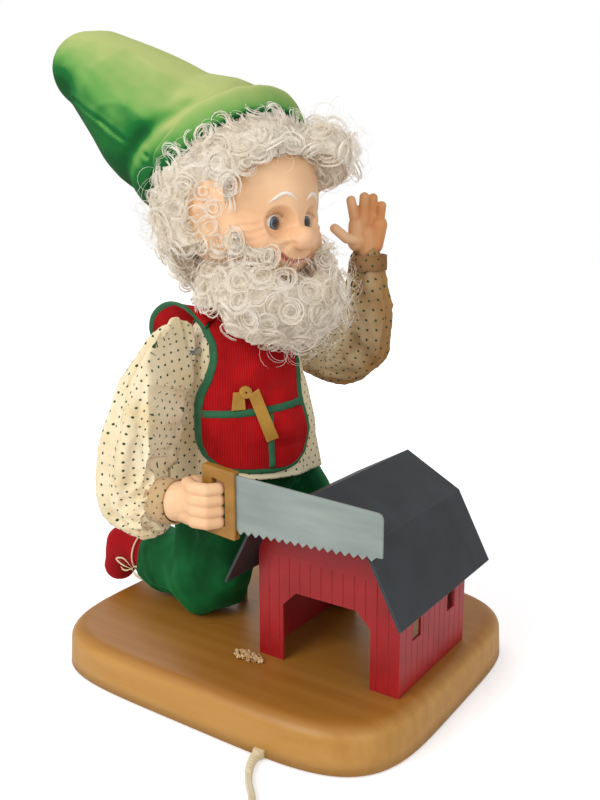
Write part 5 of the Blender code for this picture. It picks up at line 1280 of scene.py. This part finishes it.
bm = limb([[(from_head(p), r) for p, r in HAT_CHAIN]], 0.0022, 14)
rumpled(bm, 0.0036, 15, 9.0)
bm.normal_update()
axis = HEAD_TURN.to_3x3() @ HAT_AXIS
for vert in bm.verts:
    height = (vert.co - HEAD_TURN @ HAT_MOUTH).dot(axis)
    pleat = math.exp(-((height - 0.020) / 0.008) ** 2) * (0.5 + noise.noise(vert.co * 22))
    vert.co -= vert.normal * 0.0050 * max(0.0, pleat)
points = np.array([in_head(v.co) for v in bm.verts])
seam = nearest_on(points, [HAT_SEAM])
for vert, gap in zip(list(bm.verts), seam):
    ridge = 0.0006 * math.exp(-((gap - 0.004) / 0.003) ** 2)
    groove = 0.0011 * math.exp(-(gap / 0.0018) ** 2)
    vert.co += vert.normal * (ridge - groove)
trimmed(bm, HEAD_TURN @ (HAT_MOUTH + Vector((0.003, 0, -0.004))), -axis)
hat = piece("velour_hat", bm, velour, "head", ("hat",))


def make_band():
    """Turned-up band: rises outside the mouth, rolls over and comes down behind."""
    section = [(-0.0045, -0.0170), (-0.0015, -0.0185), (0.0020, -0.0150), (0.0045, -0.0060),
               (0.0055, 0.0030),
               (0.0040, 0.0070), (0.0010, 0.0065), (-0.0010, 0.0010), (-0.0035, -0.0080)]
    bm = spun([(0.0715 + r, h) for r, h in section], 140)
    for vert in bm.verts:
        turn = math.atan2(vert.co.y, vert.co.x)
        near = max(0.0, math.cos(turn + math.radians(115)))
        wave = noise.noise(Vector((math.cos(turn) * 2, math.sin(turn) * 2, 4.0)))
        pucker = noise.noise(Vector((math.cos(turn) * 7, math.sin(turn) * 7, 9.0)))
        stretch = 1 + 0.015 * wave - 0.045 * near
        vert.co.x *= stretch
        vert.co.y *= stretch
        vert.co.z += 0.0030 * wave + 0.0012 * pucker - 0.0035 * near
        vert.co.x += 0.0020
    bmesh.ops.recalc_face_normals(bm, faces=bm.faces)
    moved(bm, HEAD_TURN @ Matrix.Translation(HAT_MOUTH) @ Matrix.Rotation(-HAT_TILT, 4, "Y"))
    return subdivided(bm, 1)


band = piece("hat_band", make_band(), velour, "head", ("hat_cuff",))
print("hat faces", len(hat.data.polygons), "band", len(band.data.polygons))

# %% [markdown]
# ## Vinyl head and hands
# The head is rotational-moulded soft vinyl with painted cheeks and lips. Features are raised and sunk
# with smooth bumps on a fine ball, and two almond holes show the eyes behind.

# %% Vinyl with painted blush
# Soft vinyl: warm skin with a little light let in, rosy cheeks and painted lips. The far hand is browner
# with painted shade.
vinyl, tree, shader, where = finish("painted_soft_vinyl", "E9BD96", 0.45, Subsurface_Weight=0.10,
                                    Subsurface_Scale=0.003, Specular_IOR_Level=0.35)
shader.inputs["Subsurface Radius"].default_value = (1.0, 0.45, 0.25)
tint, cloud = speckled(tree, where, 26, "EAB98C", "F6CDA2")
for paint, code in (("rose", "E58A6C"), ("lip", "B9504C")):
    share = add(tree, "Attribute", {"attribute_name": paint})
    tint = mixed(tree, share.outputs["Fac"], tint, colour(code))
# Painted shade: beyond 66 mm to the far side, a pale brown is multiplied in.
far = ranged(tree, split(tree, where, "Y"), 0.066, 0.085, curve="SMOOTHSTEP")
coloured(tree, shader, mixed(tree, far, tint, colour("E0BE98"), "MULTIPLY"))
bumped(tree, shader, noisy(tree, where, 700.0, 2.0), 0.1, 0.0002)

SKULL, SKULL_RADII = Vector((0.0160, 0.0, 0.4210)), (0.0600, 0.0620, 0.0700)
EYES = {side: Vector((0.0610, side * 0.0180, 0.4010)) for side in (-1, 1)}
LID_REACH = 0.0116
FORMS = [((0.0740, 0.000, 0.4290), 0.0080, 0.0200), ((0.0700, 0.000, 0.3880), 0.0100, 0.0150),
         ((0.0600, 0.000, 0.3720), 0.0100, 0.0140), ((0.0520, 0.000, 0.3520), 0.0060, 0.0140),
         ((0.0600, 0.031, 0.3825), 0.0130, 0.0145), ((0.0600, -0.031, 0.3825), 0.0130, 0.0145),
         ((0.0660, 0.020, 0.4020), -0.0028, 0.0110), ((0.0660, -0.020, 0.4020), -0.0028, 0.0110),
         ((0.0560, 0.041, 0.4020), -0.0025, 0.0080), ((0.0560, -0.041, 0.4020), -0.0025, 0.0080)]
CREASES = [([(0.0135, 0.3830), (0.0200, 0.3770), (0.0225, 0.3690)], 0.0030, 0.0028),
           ([(0.0330, 0.4070), (0.0385, 0.4098), (0.0440, 0.4125)], 0.0008, 0.0014),
           ([(0.0335, 0.4010), (0.0395, 0.3992), (0.0460, 0.3986)], 0.0014, 0.0016),
           ([(0.0325, 0.3960), (0.0390, 0.3935), (0.0455, 0.3927)], 0.0014, 0.0016),
           ([(0.0300, 0.3915), (0.0380, 0.3880), (0.0440, 0.3872)], 0.0007, 0.0016),
           ([(0.0110, 0.3925), (0.0190, 0.3888), (0.0270, 0.3900)], 0.0012, 0.0018)]
SMILE = [(0.0000, 0.3690), (0.0070, 0.3698), (0.0130, 0.3722), (0.0170, 0.3756)]


def head_ball(centre, radii):
    """Ball in head coordinates, as vertices of a new bmesh."""
    bm = bmesh.new()
    bmesh.ops.create_uvsphere(bm, u_segments=96, v_segments=64, radius=1)
    bmesh.ops.rotate(bm, matrix=Matrix.Rotation(math.radians(90), 3, "Y"), verts=bm.verts)
    for vert in bm.verts:
        vert.co = Vector([centre[i] + vert.co[i] * radii[i] for i in range(3)])
    return bm


def sculpted_head():
    bm = head_ball(SKULL, SKULL_RADII)
    for vert in bm.verts:
        out = (vert.co - SKULL).normalized()
        for spot, high, wide in FORMS:
            vert.co += out * high * math.exp(-((vert.co - Vector(spot)).length / wide) ** 2 / 2)
    merged(bm, head_ball((0.0850, 0, 0.3885), (0.0112, 0.0116, 0.0102)))
    merged(bm, head_ball((0.0, 0, 0.3620), (0.0255, 0.0255, 0.0220)))
    bm = fused(bm, 0.00115, 5)
    bm.normal_update()
    points = np.array([v.co for v in bm.verts])
    mirrored = points.copy()
    mirrored[:, 1] = np.abs(mirrored[:, 1])
    push = np.zeros(len(points))
    faced = mirrored * (0, 1, 1)
    ahead = points[:, 0] > 0.020
    for route, deep, wide in CREASES:
        push -= ahead * deep * np.exp(-(nearest_on(faced, [[(0, y, z) for y, z in route]]) / wide) ** 2)
    smile = [(0, y, z) for y, z in SMILE]
    mouth = nearest_on(faced, [smile]) + 1.0 * ~ahead
    push -= 0.0022 * np.exp(-(mouth / 0.0015) ** 2)
    lips = np.exp(-((nearest_on(faced, [smile]) - 0.0022) / 0.0016) ** 2)
    push += 0.0012 * ahead * lips
    blush = 0.40 * np.exp(-(((mirrored - (0.0560, 0.0360, 0.3840)) / 0.0150) ** 2).sum(1))
    blush += 0.30 * np.exp(-(((mirrored - (0.0900, 0.0, 0.3870)) / 0.0110) ** 2).sum(1))
    from_eye = np.sqrt(((mirrored - (0.0610, 0.0180, 0.4010)) ** 2).sum(1))
    eyelids = np.exp(-((from_eye - 0.0135) / 0.0022) ** 2)
    blush += 0.07 * eyelids * (points[:, 0] > 0.060)
    rose_layer = bm.verts.layers.float.new("rose")
    lip_layer = bm.verts.layers.float.new("lip")
    for i, vert in enumerate(bm.verts):
        vert[rose_layer] = float(min(1.0, blush[i]))
        vert[lip_layer] = float(min(1.0, 0.9 * np.exp(-(mouth[i] / 0.0019) ** 2)))
        vert.co += vert.normal * float(push[i])
        for eye in EYES.values():
            away = vert.co - eye
            flat = math.hypot(away.y, away.z)
            if away.x > 0 and flat < 0.0170:
                ball = math.sqrt(max(0.0, LID_REACH ** 2 - flat ** 2))
                hollow = 1 - smoothstep((flat - 0.0088) / 0.0060)
                vert.co.x = eye.x + away.x * (1 - hollow) + max(ball, 0.0086) * hollow
    moved(bm, HEAD_TURN)
    return bm


def almonds():
    """Both eye openings as one cutter: lens-shaped prisms that start at the middle of each eye."""
    bm = bmesh.new()
    for side, eye in EYES.items():
        part = bmesh.new()
        bmesh.ops.create_cone(part, cap_ends=True, segments=32, radius1=1, radius2=1, depth=0.05)
        bmesh.ops.rotate(part, matrix=Matrix.Rotation(math.radians(90), 3, "Y"), verts=part.verts)
        for vert in part.verts:
            x, y, z = vert.co
            vert.co = Vector((x, 0.0088 * y, (0.0074 if z > 0 else 0.0058) * z * (1 - 0.30 * y * y)))
        tilt = Matrix.Rotation(side * math.radians(4), 4, "X")
        moved(part, Matrix.Translation(eye + Vector((0.0245, 0, 0.0))) @ tilt)
        merged(bm, part)
    moved(bm, HEAD_TURN)
    bmesh.ops.recalc_face_normals(bm, faces=bm.faces)
    return placed("openings", as_mesh("openings", bm))


openings = almonds()
bm = settled(sculpted_head(), ("BOOLEAN", {"operation": "DIFFERENCE", "object": openings,
                                           "solver": "EXACT"}))
bpy.data.objects.remove(openings, do_unlink=True)
head = piece("vinyl_head", bm, vinyl, "head", ("head_shell",))
print("head faces", len(head.data.polygons))


# %% Glassy eyes
def make_eye(name, side, node):
    """Acrylic eye: white ball, blue-grey iris ring and dark pupil, set by distance from its axis."""
    centre = HEAD_TURN @ EYES[side]
    gaze = (HEAD_TURN.to_3x3() @ Vector((1.0, 0.03, -0.04))).normalized()
    made, tree, shader, where = finish(name + "_acrylic", "F2F0EA", 0.06, Coat_Weight=1.0,
                                       Coat_Roughness=0.03)
    away = add(tree, "VectorMath", {"operation": "SUBTRACT"}, {0: where, 1: tuple(centre)})
    unit = add(tree, "VectorMath", {"operation": "NORMALIZE"},
               {0: away.outputs["Vector"]}).outputs["Vector"]
    ahead = add(tree, "VectorMath", {"operation": "DOT_PRODUCT"}, {0: unit, 1: tuple(gaze)})
    stops = [(0.0, "EFEAE0"), (0.815, "EFE9DF"), (0.826, "161C22"), (0.850, "33424F"), (0.905, "5F7586"),
             (0.935, "33414E"), (0.948, "08090A"), (1.0, "050505")]
    rings = ramped(tree, ahead.outputs["Value"], stops)
    shade = ranged(tree, noisy(tree, unit, 14.0, 6.0), 0.0, 1.0, 0.75, 1.2)
    coloured(tree, shader, mixed(tree, 1.0, rings, shade, "MULTIPLY"))
    bm = bmesh.new()
    bmesh.ops.create_uvsphere(bm, u_segments=48, v_segments=32, radius=0.0103,
                              matrix=Matrix.Translation(centre))
    return piece(name, bm, made, "head", (node,))


make_eye("glass_eye_right", -1, "eye_right")
make_eye("glass_eye_left", 1, "eye_left")
print("eyes set")


# %% Brows and lashes
def strands(name, lines, radius, material, body, blunt=False):
    """Fibres: each line of points becomes one curve with a small round section, then a mesh."""
    curve = bpy.data.curves.new(name, "CURVE")
    curve.dimensions = "3D"
    section = bpy.data.curves.new(name + "_section", "CURVE")
    outline = section.splines.new("POLY")
    sides = 8 if blunt else 3
    outline.points.add(sides - 1)
    outline.use_cyclic_u = True
    for k in range(sides):
        turn = 2 * math.pi * k / sides
        outline.points[k].co = (radius * math.cos(turn), radius * math.sin(turn), 0, 1)
    round_section = placed(name + "_section", section)
    curve.bevel_mode = "OBJECT"
    curve.bevel_object = round_section
    curve.use_fill_caps = True
    for line in lines:
        spline = curve.splines.new("POLY")
        spline.points.add(len(line) - 1)
        spline.points.foreach_set("co", [c for point in line for c in (*point, 1)])
        share = np.linspace(0, 1, len(line))
        width = np.clip(np.sin(np.pi * share) * (1.3 if blunt else 6.0), 0.25, 1.0)
        spline.points.foreach_set("radius", width)
    holder = placed(name + "_curve", curve)
    bm = bmesh.new()
    depsgraph = bpy.context.evaluated_depsgraph_get()
    bm.from_mesh(holder.evaluated_get(depsgraph).to_mesh())
    bpy.data.objects.remove(holder, do_unlink=True)
    bpy.data.objects.remove(round_section, do_unlink=True)
    bpy.data.curves.remove(curve)
    bpy.data.curves.remove(section)
    return piece(name, bm, material, body)


def face_point(y, z, lift):
    """Point on the vinyl face at head coordinates y and z, raised by a lift."""
    best = max((in_head(v.co) for v in head.data.vertices
                if abs(in_head(v.co).y - y) < 0.0016 and abs(in_head(v.co).z - z) < 0.0016),
                key=lambda p: p.x)
    return HEAD_TURN @ (best + Vector((lift, 0, 0)))


# Brows: thick matt white paint. Lashes: short brown fibre.
white_hair = clouded("painted_white_brow", "F2E6DA", 0.6, 200, "EBDCCB", "FAF3EA")
lash_brown = clouded("brown_lash_fibre", "4A2416", 0.6, 300, "3A1A10", "5C2E1C")

brows = []
for side in (-1, 1):
    arc = [(0.0060, 0.4185), (0.0115, 0.4225), (0.0180, 0.4235), (0.0240, 0.4205), (0.0290, 0.4160)]
    brows.append(eased([face_point(side * y, z, 0.0003) for y, z in arc], 6))
strands("painted_brows", brows, 0.0015, white_hair, "head", blunt=True)

lashes = []
for side, eye in EYES.items():
    for i in range(17):
        t = i / 16 * 2 - 1
        up = 0.0071 * (1 - 0.55 * t * t)
        base = eye + Vector((math.sqrt(max(0.0, LID_REACH ** 2 - (0.0084 * t) ** 2 - up ** 2)), 0.0084 * t,
                             up))
        tip = base + Vector((0.0030, 0.0018 * t, 0.0026))
        middle = (base + tip) / 2 + Vector((0.0006, 0, -0.0005))
        lashes.append([HEAD_TURN @ p for p in (base, middle, tip)])
strands("eye_lashes", lashes, 0.00018, lash_brown, "head")
print("brows and lashes made")

# %% [markdown]
# The lace on the boot and the strings of the tabard are round strands too, so they are made here, with
# the function that drew the brows. Each is tied in a small bow.

# %% Boot lace and strings
ANKLE, ANKLE_RADIUS = Vector((-0.1560, -0.0255, 0.0735)), 0.0214
KNOT = (-0.1575, -0.0455, 0.0615)
LACE_BOW = [[(-0.0100, -0.0014, 0.0085), (-0.0205, -0.0014, 0.0060), (-0.0120, -0.0014, 0.0015),
             (0, -0.0014, 0)],
            [(0.0070, -0.0014, 0.0040), (0.0150, -0.0014, -0.0020), (0.0080, -0.0014, -0.0050),
             (0, -0.0014, 0)],
            [(-0.0060, -0.0014, -0.0030), (-0.0110, -0.0014, -0.0035), (-0.0150, -0.0014, -0.0010)],
            [(0.0060, -0.0014, -0.0060), (0.0150, -0.0014, -0.0080), (0.0215, -0.0014, -0.0072)]]
BACK_KNOT = (-0.1120, -0.0300, 0.2500)
BACK_BOW = [[(-0.020, 0.010, 0.008), (-0.044, 0.002, 0.004), (-0.046, -0.004, -0.006),
             (-0.024, -0.004, -0.006), (0, 0, 0)],
            [(-0.010, 0.018, 0.004), (-0.018, 0.034, -0.004), (-0.008, 0.020, -0.010), (0, 0, 0)],
            [(-0.010, 0.002, -0.016), (-0.014, 0.006, -0.036)],
            [(-0.012, -0.004, -0.012), (-0.020, -0.006, -0.030)]]


def tied(knot, paths, scale=1.0):
    """Loops and ends of a bow: each path holds steps away from the knot."""
    routes = [[knot, *[tuple(k + scale * d for k, d in zip(knot, step)) for step in path]]
              for path in paths]
    return [[row(*p) for p in eased(route, 8)] for route in routes]


lace = [[row(ANKLE.x, ANKLE.y + ANKLE_RADIUS * math.cos(t), ANKLE.z + ANKLE_RADIUS * math.sin(t))
         for t in np.linspace(0, 2 * math.pi, 33)]]
lace += tied(KNOT, LACE_BOW)
lace.append([row(KNOT[0] - 0.0020, KNOT[1] - 0.001, KNOT[2]), row(KNOT[0], KNOT[1] - 0.002, KNOT[2]),
             row(KNOT[0] + 0.0020, KNOT[1] - 0.001, KNOT[2])])
strands("boot_lace", lace, 0.0009, lace_cream, "stand", blunt=True)
strings = tied(BACK_KNOT, BACK_BOW, 0.55)
strings.append([row(-0.1060, -0.0300, 0.2475), row(-0.1125, -0.0300, 0.2500),
                row(-0.1165, -0.0290, 0.2510)])
strands("apron_strings", strings, 0.0016, lace_cream, "stand", blunt=True)

# %% [markdown]
# The hands are the same vinyl. Each finger is a chain of balls fused into the palm at a fine voxel, so
# the creases between the fingers stay open and soft.

# %% Hands
# The raised palm faces the camera: one direction out of it, one across it.
ARM_OUT = Vector((0.5606, -0.828, 0))
ARM_ACROSS = Vector((0.828, 0.5606, 0))
PALM = Vector((0.030, 0.0842, 0.372))


def at(x, z, y=0.0):
    return tuple(PALM + ARM_ACROSS * x + ARM_OUT * y + Vector((0, 0, z)))


def finger(points, radius):
    return [(p, radius * (1.06 - 0.12 * i / max(1, len(points) - 1))) for i, p in enumerate(points)]


left_hand = [[(at(0.0030, -0.010), 0.0092), (at(0.003, 0.004), 0.0095), (at(0.002, 0.018), 0.0100)],
             [(at(-0.008, 0.010), 0.0085), (at(-0.008, 0.026), 0.0080)],
             [(at(0.008, 0.008), 0.0085), (at(0.012, 0.026), 0.0080)]]
for root, tip, high in ((-0.009, -0.014, 0.048), (-0.002, -0.002, 0.051), (0.005, 0.006, 0.050),
                        (0.012, 0.014, 0.043)):
    left_hand.append(finger([at(root, 0.026), at((root + tip) / 2, high * 0.78, -0.001),
                             at(tip, high, 0.004)], 0.0047))
left_hand.append(finger([at(-0.006, 0.012, 0.004), at(-0.018, 0.014, 0.009), at(-0.029, 0.023, 0.014)],
                        0.0048))
hand_left = piece("vinyl_hand_left", limb(left_hand, 0.0008, 4), vinyl, "arms",
                  ("hand_left",))

right_hand = [[((-0.050, -0.110, 0.1715), 0.0150), ((-0.034, -0.110, 0.1735), 0.0170),
               ((-0.018, -0.109, 0.178), 0.0165)],
              [((-0.032, -0.110, 0.171), 0.0130), ((-0.018, -0.110, 0.170), 0.0140),
               ((-0.016, -0.109, 0.186), 0.0130)]]
for i in range(4):
    z = 0.1935 - 0.0093 * i
    right_hand.append(finger([(-0.018, -0.116, z), (-0.006, -0.1225, z), (0.006, -0.1210, z),
                              (0.0115, -0.113, z)], 0.0056))
right_hand.append(finger([(-0.022, -0.100, 0.186), (-0.008, -0.0965, 0.190), (0.006, -0.0975, 0.191)],
                         0.0058))
hand_right = piece("vinyl_hand_right", limb(right_hand, 0.0008, 3), vinyl, "arms",
                   ("hand_right",))
print("hands", len(hand_left.data.polygons), len(hand_right.data.polygons))

# %% [markdown]
# ## Curled hair
# The wig and beard are ringlets of fine grey-white fibre. Under them lies a base of matted fibre. Each
# ringlet is a bundle of springy strands wound round one axis that points out of the head, each strand
# with its own radius and start. The strands are drawn 0.3 mm thick, thicker than real fibre, so that
# they show at this distance.

# %% Fibre and the mat under the curls
# Fibre: silvery, shiny along its length. Mat: the same fibre felted and duller; its greyer colour, darkest
# in its hollows, is painted shade.
# Both carry a painted glow: a faint warm emission that lightens the fibre's shade.
PAINTED_GLOW = colour("FFE6C8")
fibre = clouded("silver_white_curled_fibre", "F8EFDD", 0.34, 35, "F3E8D2", "FFFAF0", Sheen_Weight=0.3,
                Specular_IOR_Level=0.7, Emission_Color=PAINTED_GLOW, Emission_Strength=0.07)
mat_hair = clouded("matted_fibre_base", "E4D9C4", 0.9, 220, "C9BCA6", "EFE6D6", bump=(0.9, 0.003), detail=8,
                   Emission_Color=PAINTED_GLOW, Emission_Strength=0.02)
HEAD_MIDDLE = Vector((0.0160, 0.0, 0.4050))
TEMPLE = Vector((0.0340, -0.0640, 0.4050))
MOUTH = Vector((0.0690, 0.0, 0.3640))
THROAT = Vector((0.0300, 0.0, 0.2500))
THIN_SPOTS = [(TEMPLE, HEAD_MIDDLE, 0.040, 0.036),
              (Vector((0.0340, 0.0640, 0.4050)), HEAD_MIDDLE, 0.040, 0.036),
              (MOUTH, THROAT, 0.034, 0.019)]


def shrunk_copy(name, node, depth, body):
    """The measured solid drawn in, as the mat that the curls stand on, thin at the temples."""
    bm = bmesh.new()
    bm.from_mesh(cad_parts[node].data)
    bmesh.ops.remove_doubles(bm, verts=bm.verts, dist=1e-6)
    bm = fused(bm, 0.0032, 4)
    bm.normal_update()
    for vert in bm.verts:
        vert.co -= vert.normal * (depth + 0.0015 * noise.noise(vert.co * 90))
        local = in_head(vert.co)
        for spot, toward, wide, deep in THIN_SPOTS:
            near = (local - spot).length / wide
            local += (toward - local).normalized() * deep * (1 - smoothstep(1.8 * near - 0.8))
        vert.co = HEAD_TURN @ local
    return piece(name, bm, mat_hair, body, (node,))


wig_mat = shrunk_copy("wig_mat", "wig", 0.0075, "head")
beard_mat = shrunk_copy("beard_mat", "beard", 0.0080, "head")
print("mats", len(wig_mat.data.polygons), len(beard_mat.data.polygons))


# %% Scatter the ringlets
def surface_spots(source, spacing, keep, seed):
    """Points spread evenly over a piece, at least a spacing apart, where keep(point, normal) allows."""
    picker = random.Random(seed)
    faces = list(range(len(source.data.polygons)))
    picker.shuffle(faces)
    spots = []
    cells = {}
    for index in faces:
        polygon = source.data.polygons[index]
        point, normal = polygon.center.copy(), polygon.normal.copy()
        if not keep(point, normal):
            continue
        key = tuple(int(math.floor(c / spacing)) for c in point)
        near = [q for dx in (-1, 0, 1) for dy in (-1, 0, 1) for dz in (-1, 0, 1)
                for q in cells.get((key[0] + dx, key[1] + dy, key[2] + dz), ())]
        if all((q - point).length > spacing for q in near):
            cells.setdefault(key, []).append(point)
            spots.append((point, normal))
    return spots


def ringlet(point, normal, radius, chance, locks, fibres, turns):
    """Lines of one ringlet: a few locks wound round one axis, each of several fibres side by side."""
    lean = Vector((chance.uniform(-1, 1), chance.uniform(-1, 1), chance.uniform(-1, 1))) * 0.5
    axis = (normal + lean).normalized()
    side = axis.orthogonal().normalized()
    up = axis.cross(side)
    hand = chance.choice((-1, 1))
    lines = []
    for lock in range(locks):
        reach = radius * (0.48 + 0.52 * lock / max(1, locks - 1))
        start = chance.uniform(0, 2 * math.pi)
        wind = turns * chance.uniform(0.75, 1.15)
        rise = radius * chance.uniform(0.35, 0.80)
        base = point + axis * (radius * chance.uniform(-0.35, 0.05))
        for _ in range(fibres):
            spread = Vector([chance.uniform(-1, 1) for i in range(3)]) * 0.0009
            own = chance.uniform(0.94, 1.06)
            steps = max(9, int(12 * wind))
            line = []
            for i in range(steps):
                t = i / (steps - 1)
                angle = start + hand * 2 * math.pi * wind * t
                r = reach * own * (0.80 + 0.28 * math.sin(math.pi * t))
                line.append(base + spread * (0.4 + t) + axis * rise * t
                            + r * (math.cos(angle) * side + math.sin(angle) * up))
            lines.append(line)
    return lines


def on_wig(point, normal):
    """Outer side of the wig, below the band, off the face and sparse at the temples."""
    local = in_head(point)
    turned = HEAD_BACK.to_3x3() @ normal
    outward = turned.dot((local - Vector((0.012, 0, 0.400))).normalized())
    brim = local.x > 0.022 and turned.x > -0.2
    far_brim = local.x > 0.020 and local.y > 0.025 and local.z > 0.405
    least = -1.0 if far_brim else -0.55 if brim else -0.30 if local.z < 0.385 else 0.20
    if outward < least or turned.dot(HAT_AXIS) > 0.95:
        return False
    return (local - Vector((TEMPLE.x, math.copysign(TEMPLE.y, local.y), TEMPLE.z))).length > 0.024


def on_beard(point, normal):
    """Outer side of the beard, open at the mouth."""
    local = in_head(point)
    turned = HEAD_BACK.to_3x3() @ normal
    outward = turned.dot((local - Vector((0.030, 0, 0.345))).normalized())
    if outward < (0.25 if abs(local.y) < 0.03 else -0.05):
        return False
    return not (abs(local.y) < 0.024 and local.z > 0.352 and local.x > 0.040)


def on_temple(point, normal):
    """A few loose curls straight on the vinyl in front of the ears."""
    local = in_head(point)
    return 0.0 < local.x < 0.040 and 0.386 < local.z < 0.455 and abs(local.y) > 0.040


def grow_hair(name, lines, radius=0.00019, most=1500):
    """Split the fibres into pieces small enough for one mesh each."""
    total = 0
    for index in range(0, len(lines), most):
        obj = strands(f"{name}_{index // most}", lines[index:index + most], radius, fibre, "head")
        total += sum(len(p.vertices) - 2 for p in obj.data.polygons)
    print(name, len(lines), "fibres,", total, "triangles")


def curls_on(source, spacing, sizes, keep, seed, locks=3, fibres=5, turns=1.6):
    chance = random.Random(seed)
    lines = []
    for point, normal in surface_spots(source, spacing, keep, seed):
        lines += ringlet(point + normal * 0.002, normal, chance.uniform(*sizes), chance, locks, fibres,
                         turns)
    return lines


def curls_under_band():
    """A row of curls pushed out from under the hat's band."""
    chance = random.Random(12)
    lines = []
    for i in range(46):
        turn = 2 * math.pi * i / 46 + chance.uniform(-0.04, 0.04)
        around = Matrix.Rotation(-HAT_TILT, 3, "Y")
        out = around @ Vector((math.cos(turn), math.sin(turn), 0))
        down = chance.uniform(0.014, 0.024)
        spot = HAT_MOUTH + out * (0.0675 + chance.uniform(-0.002, 0.004)) - HAT_AXIS * down
        if spot.x > -0.060:
            normal = HEAD_TURN.to_3x3() @ (out - HAT_AXIS * 0.2).normalized()
            lines += ringlet(HEAD_TURN @ spot, normal, chance.uniform(0.0085, 0.0115), chance, 3, 5, 1.6)
    return lines


grow_hair("wig_curls", curls_on(wig_mat, 0.0140, (0.0085, 0.0120), on_wig, 3))
grow_hair("band_curls", curls_under_band())
grow_hair("temple_curls", curls_on(head, 0.0150, (0.0070, 0.0100), on_temple, 8, locks=2, fibres=4))
grow_hair("beard_curls", curls_on(beard_mat, 0.0140, (0.0085, 0.0122), on_beard, 4))


# %% Loose fibres
def brushes(p):
    """Whether a loose hair would touch the raised hand, a sleeve or the back panel as the head turns."""
    by_hand = p.y > 0.064 and p.z < 0.440
    by_sleeve = abs(p.y) > 0.052 and p.z < 0.345
    by_back = p.x < FRAME_X - 0.070 and p.z < 0.340
    return by_hand or by_sleeve or by_back


def stray(source, count, keep, seed):
    """Single springy hairs that stand off the mass and blur its outline."""
    chance = random.Random(seed)
    lines = []
    for point, normal in surface_spots(source, 0.006, keep, seed)[:count]:
        axis = Vector([chance.uniform(-1, 1) for i in range(3)]).normalized()
        side = axis.orthogonal().normalized()
        up = axis.cross(side)
        radius = chance.uniform(0.006, 0.013)
        start = chance.uniform(0, 6.28)
        wind = chance.uniform(0.6, 1.6)
        base = point + normal * chance.uniform(0.006, 0.013)
        steps = int(12 * wind) + 4
        line = [base + radius * (math.cos(start + 6.28 * wind * i / steps) * side
                                 + math.sin(start + 6.28 * wind * i / steps) * up)
                + axis * 0.006 * i / steps for i in range(steps)]
        if not any(brushes(p) for p in line):
            lines.append(line)
    return lines


grow_hair("wig_strays", stray(wig_mat, 420, on_wig, 21), radius=0.00013)
grow_hair("beard_strays", stray(beard_mat, 420, on_beard, 22), radius=0.00013)
moustache = []
chance = random.Random(30)
for i in range(26):
    y = chance.uniform(-0.020, 0.020)
    start = Vector((0.0755 - abs(y) * 0.35, y, 0.3765 - abs(y) * 0.15))
    drop = Vector((chance.uniform(-0.002, 0.006), math.copysign(chance.uniform(0.003, 0.014), y),
                   -chance.uniform(0.008, 0.018)))
    bend = Vector((chance.uniform(0.002, 0.006), chance.uniform(-0.003, 0.003), 0.001))
    moustache.append([HEAD_TURN @ (start + drop * t + bend * math.sin(math.pi * t))
                      for t in np.linspace(0, 1, 9)])
grow_hair("moustache", moustache, radius=0.00022)
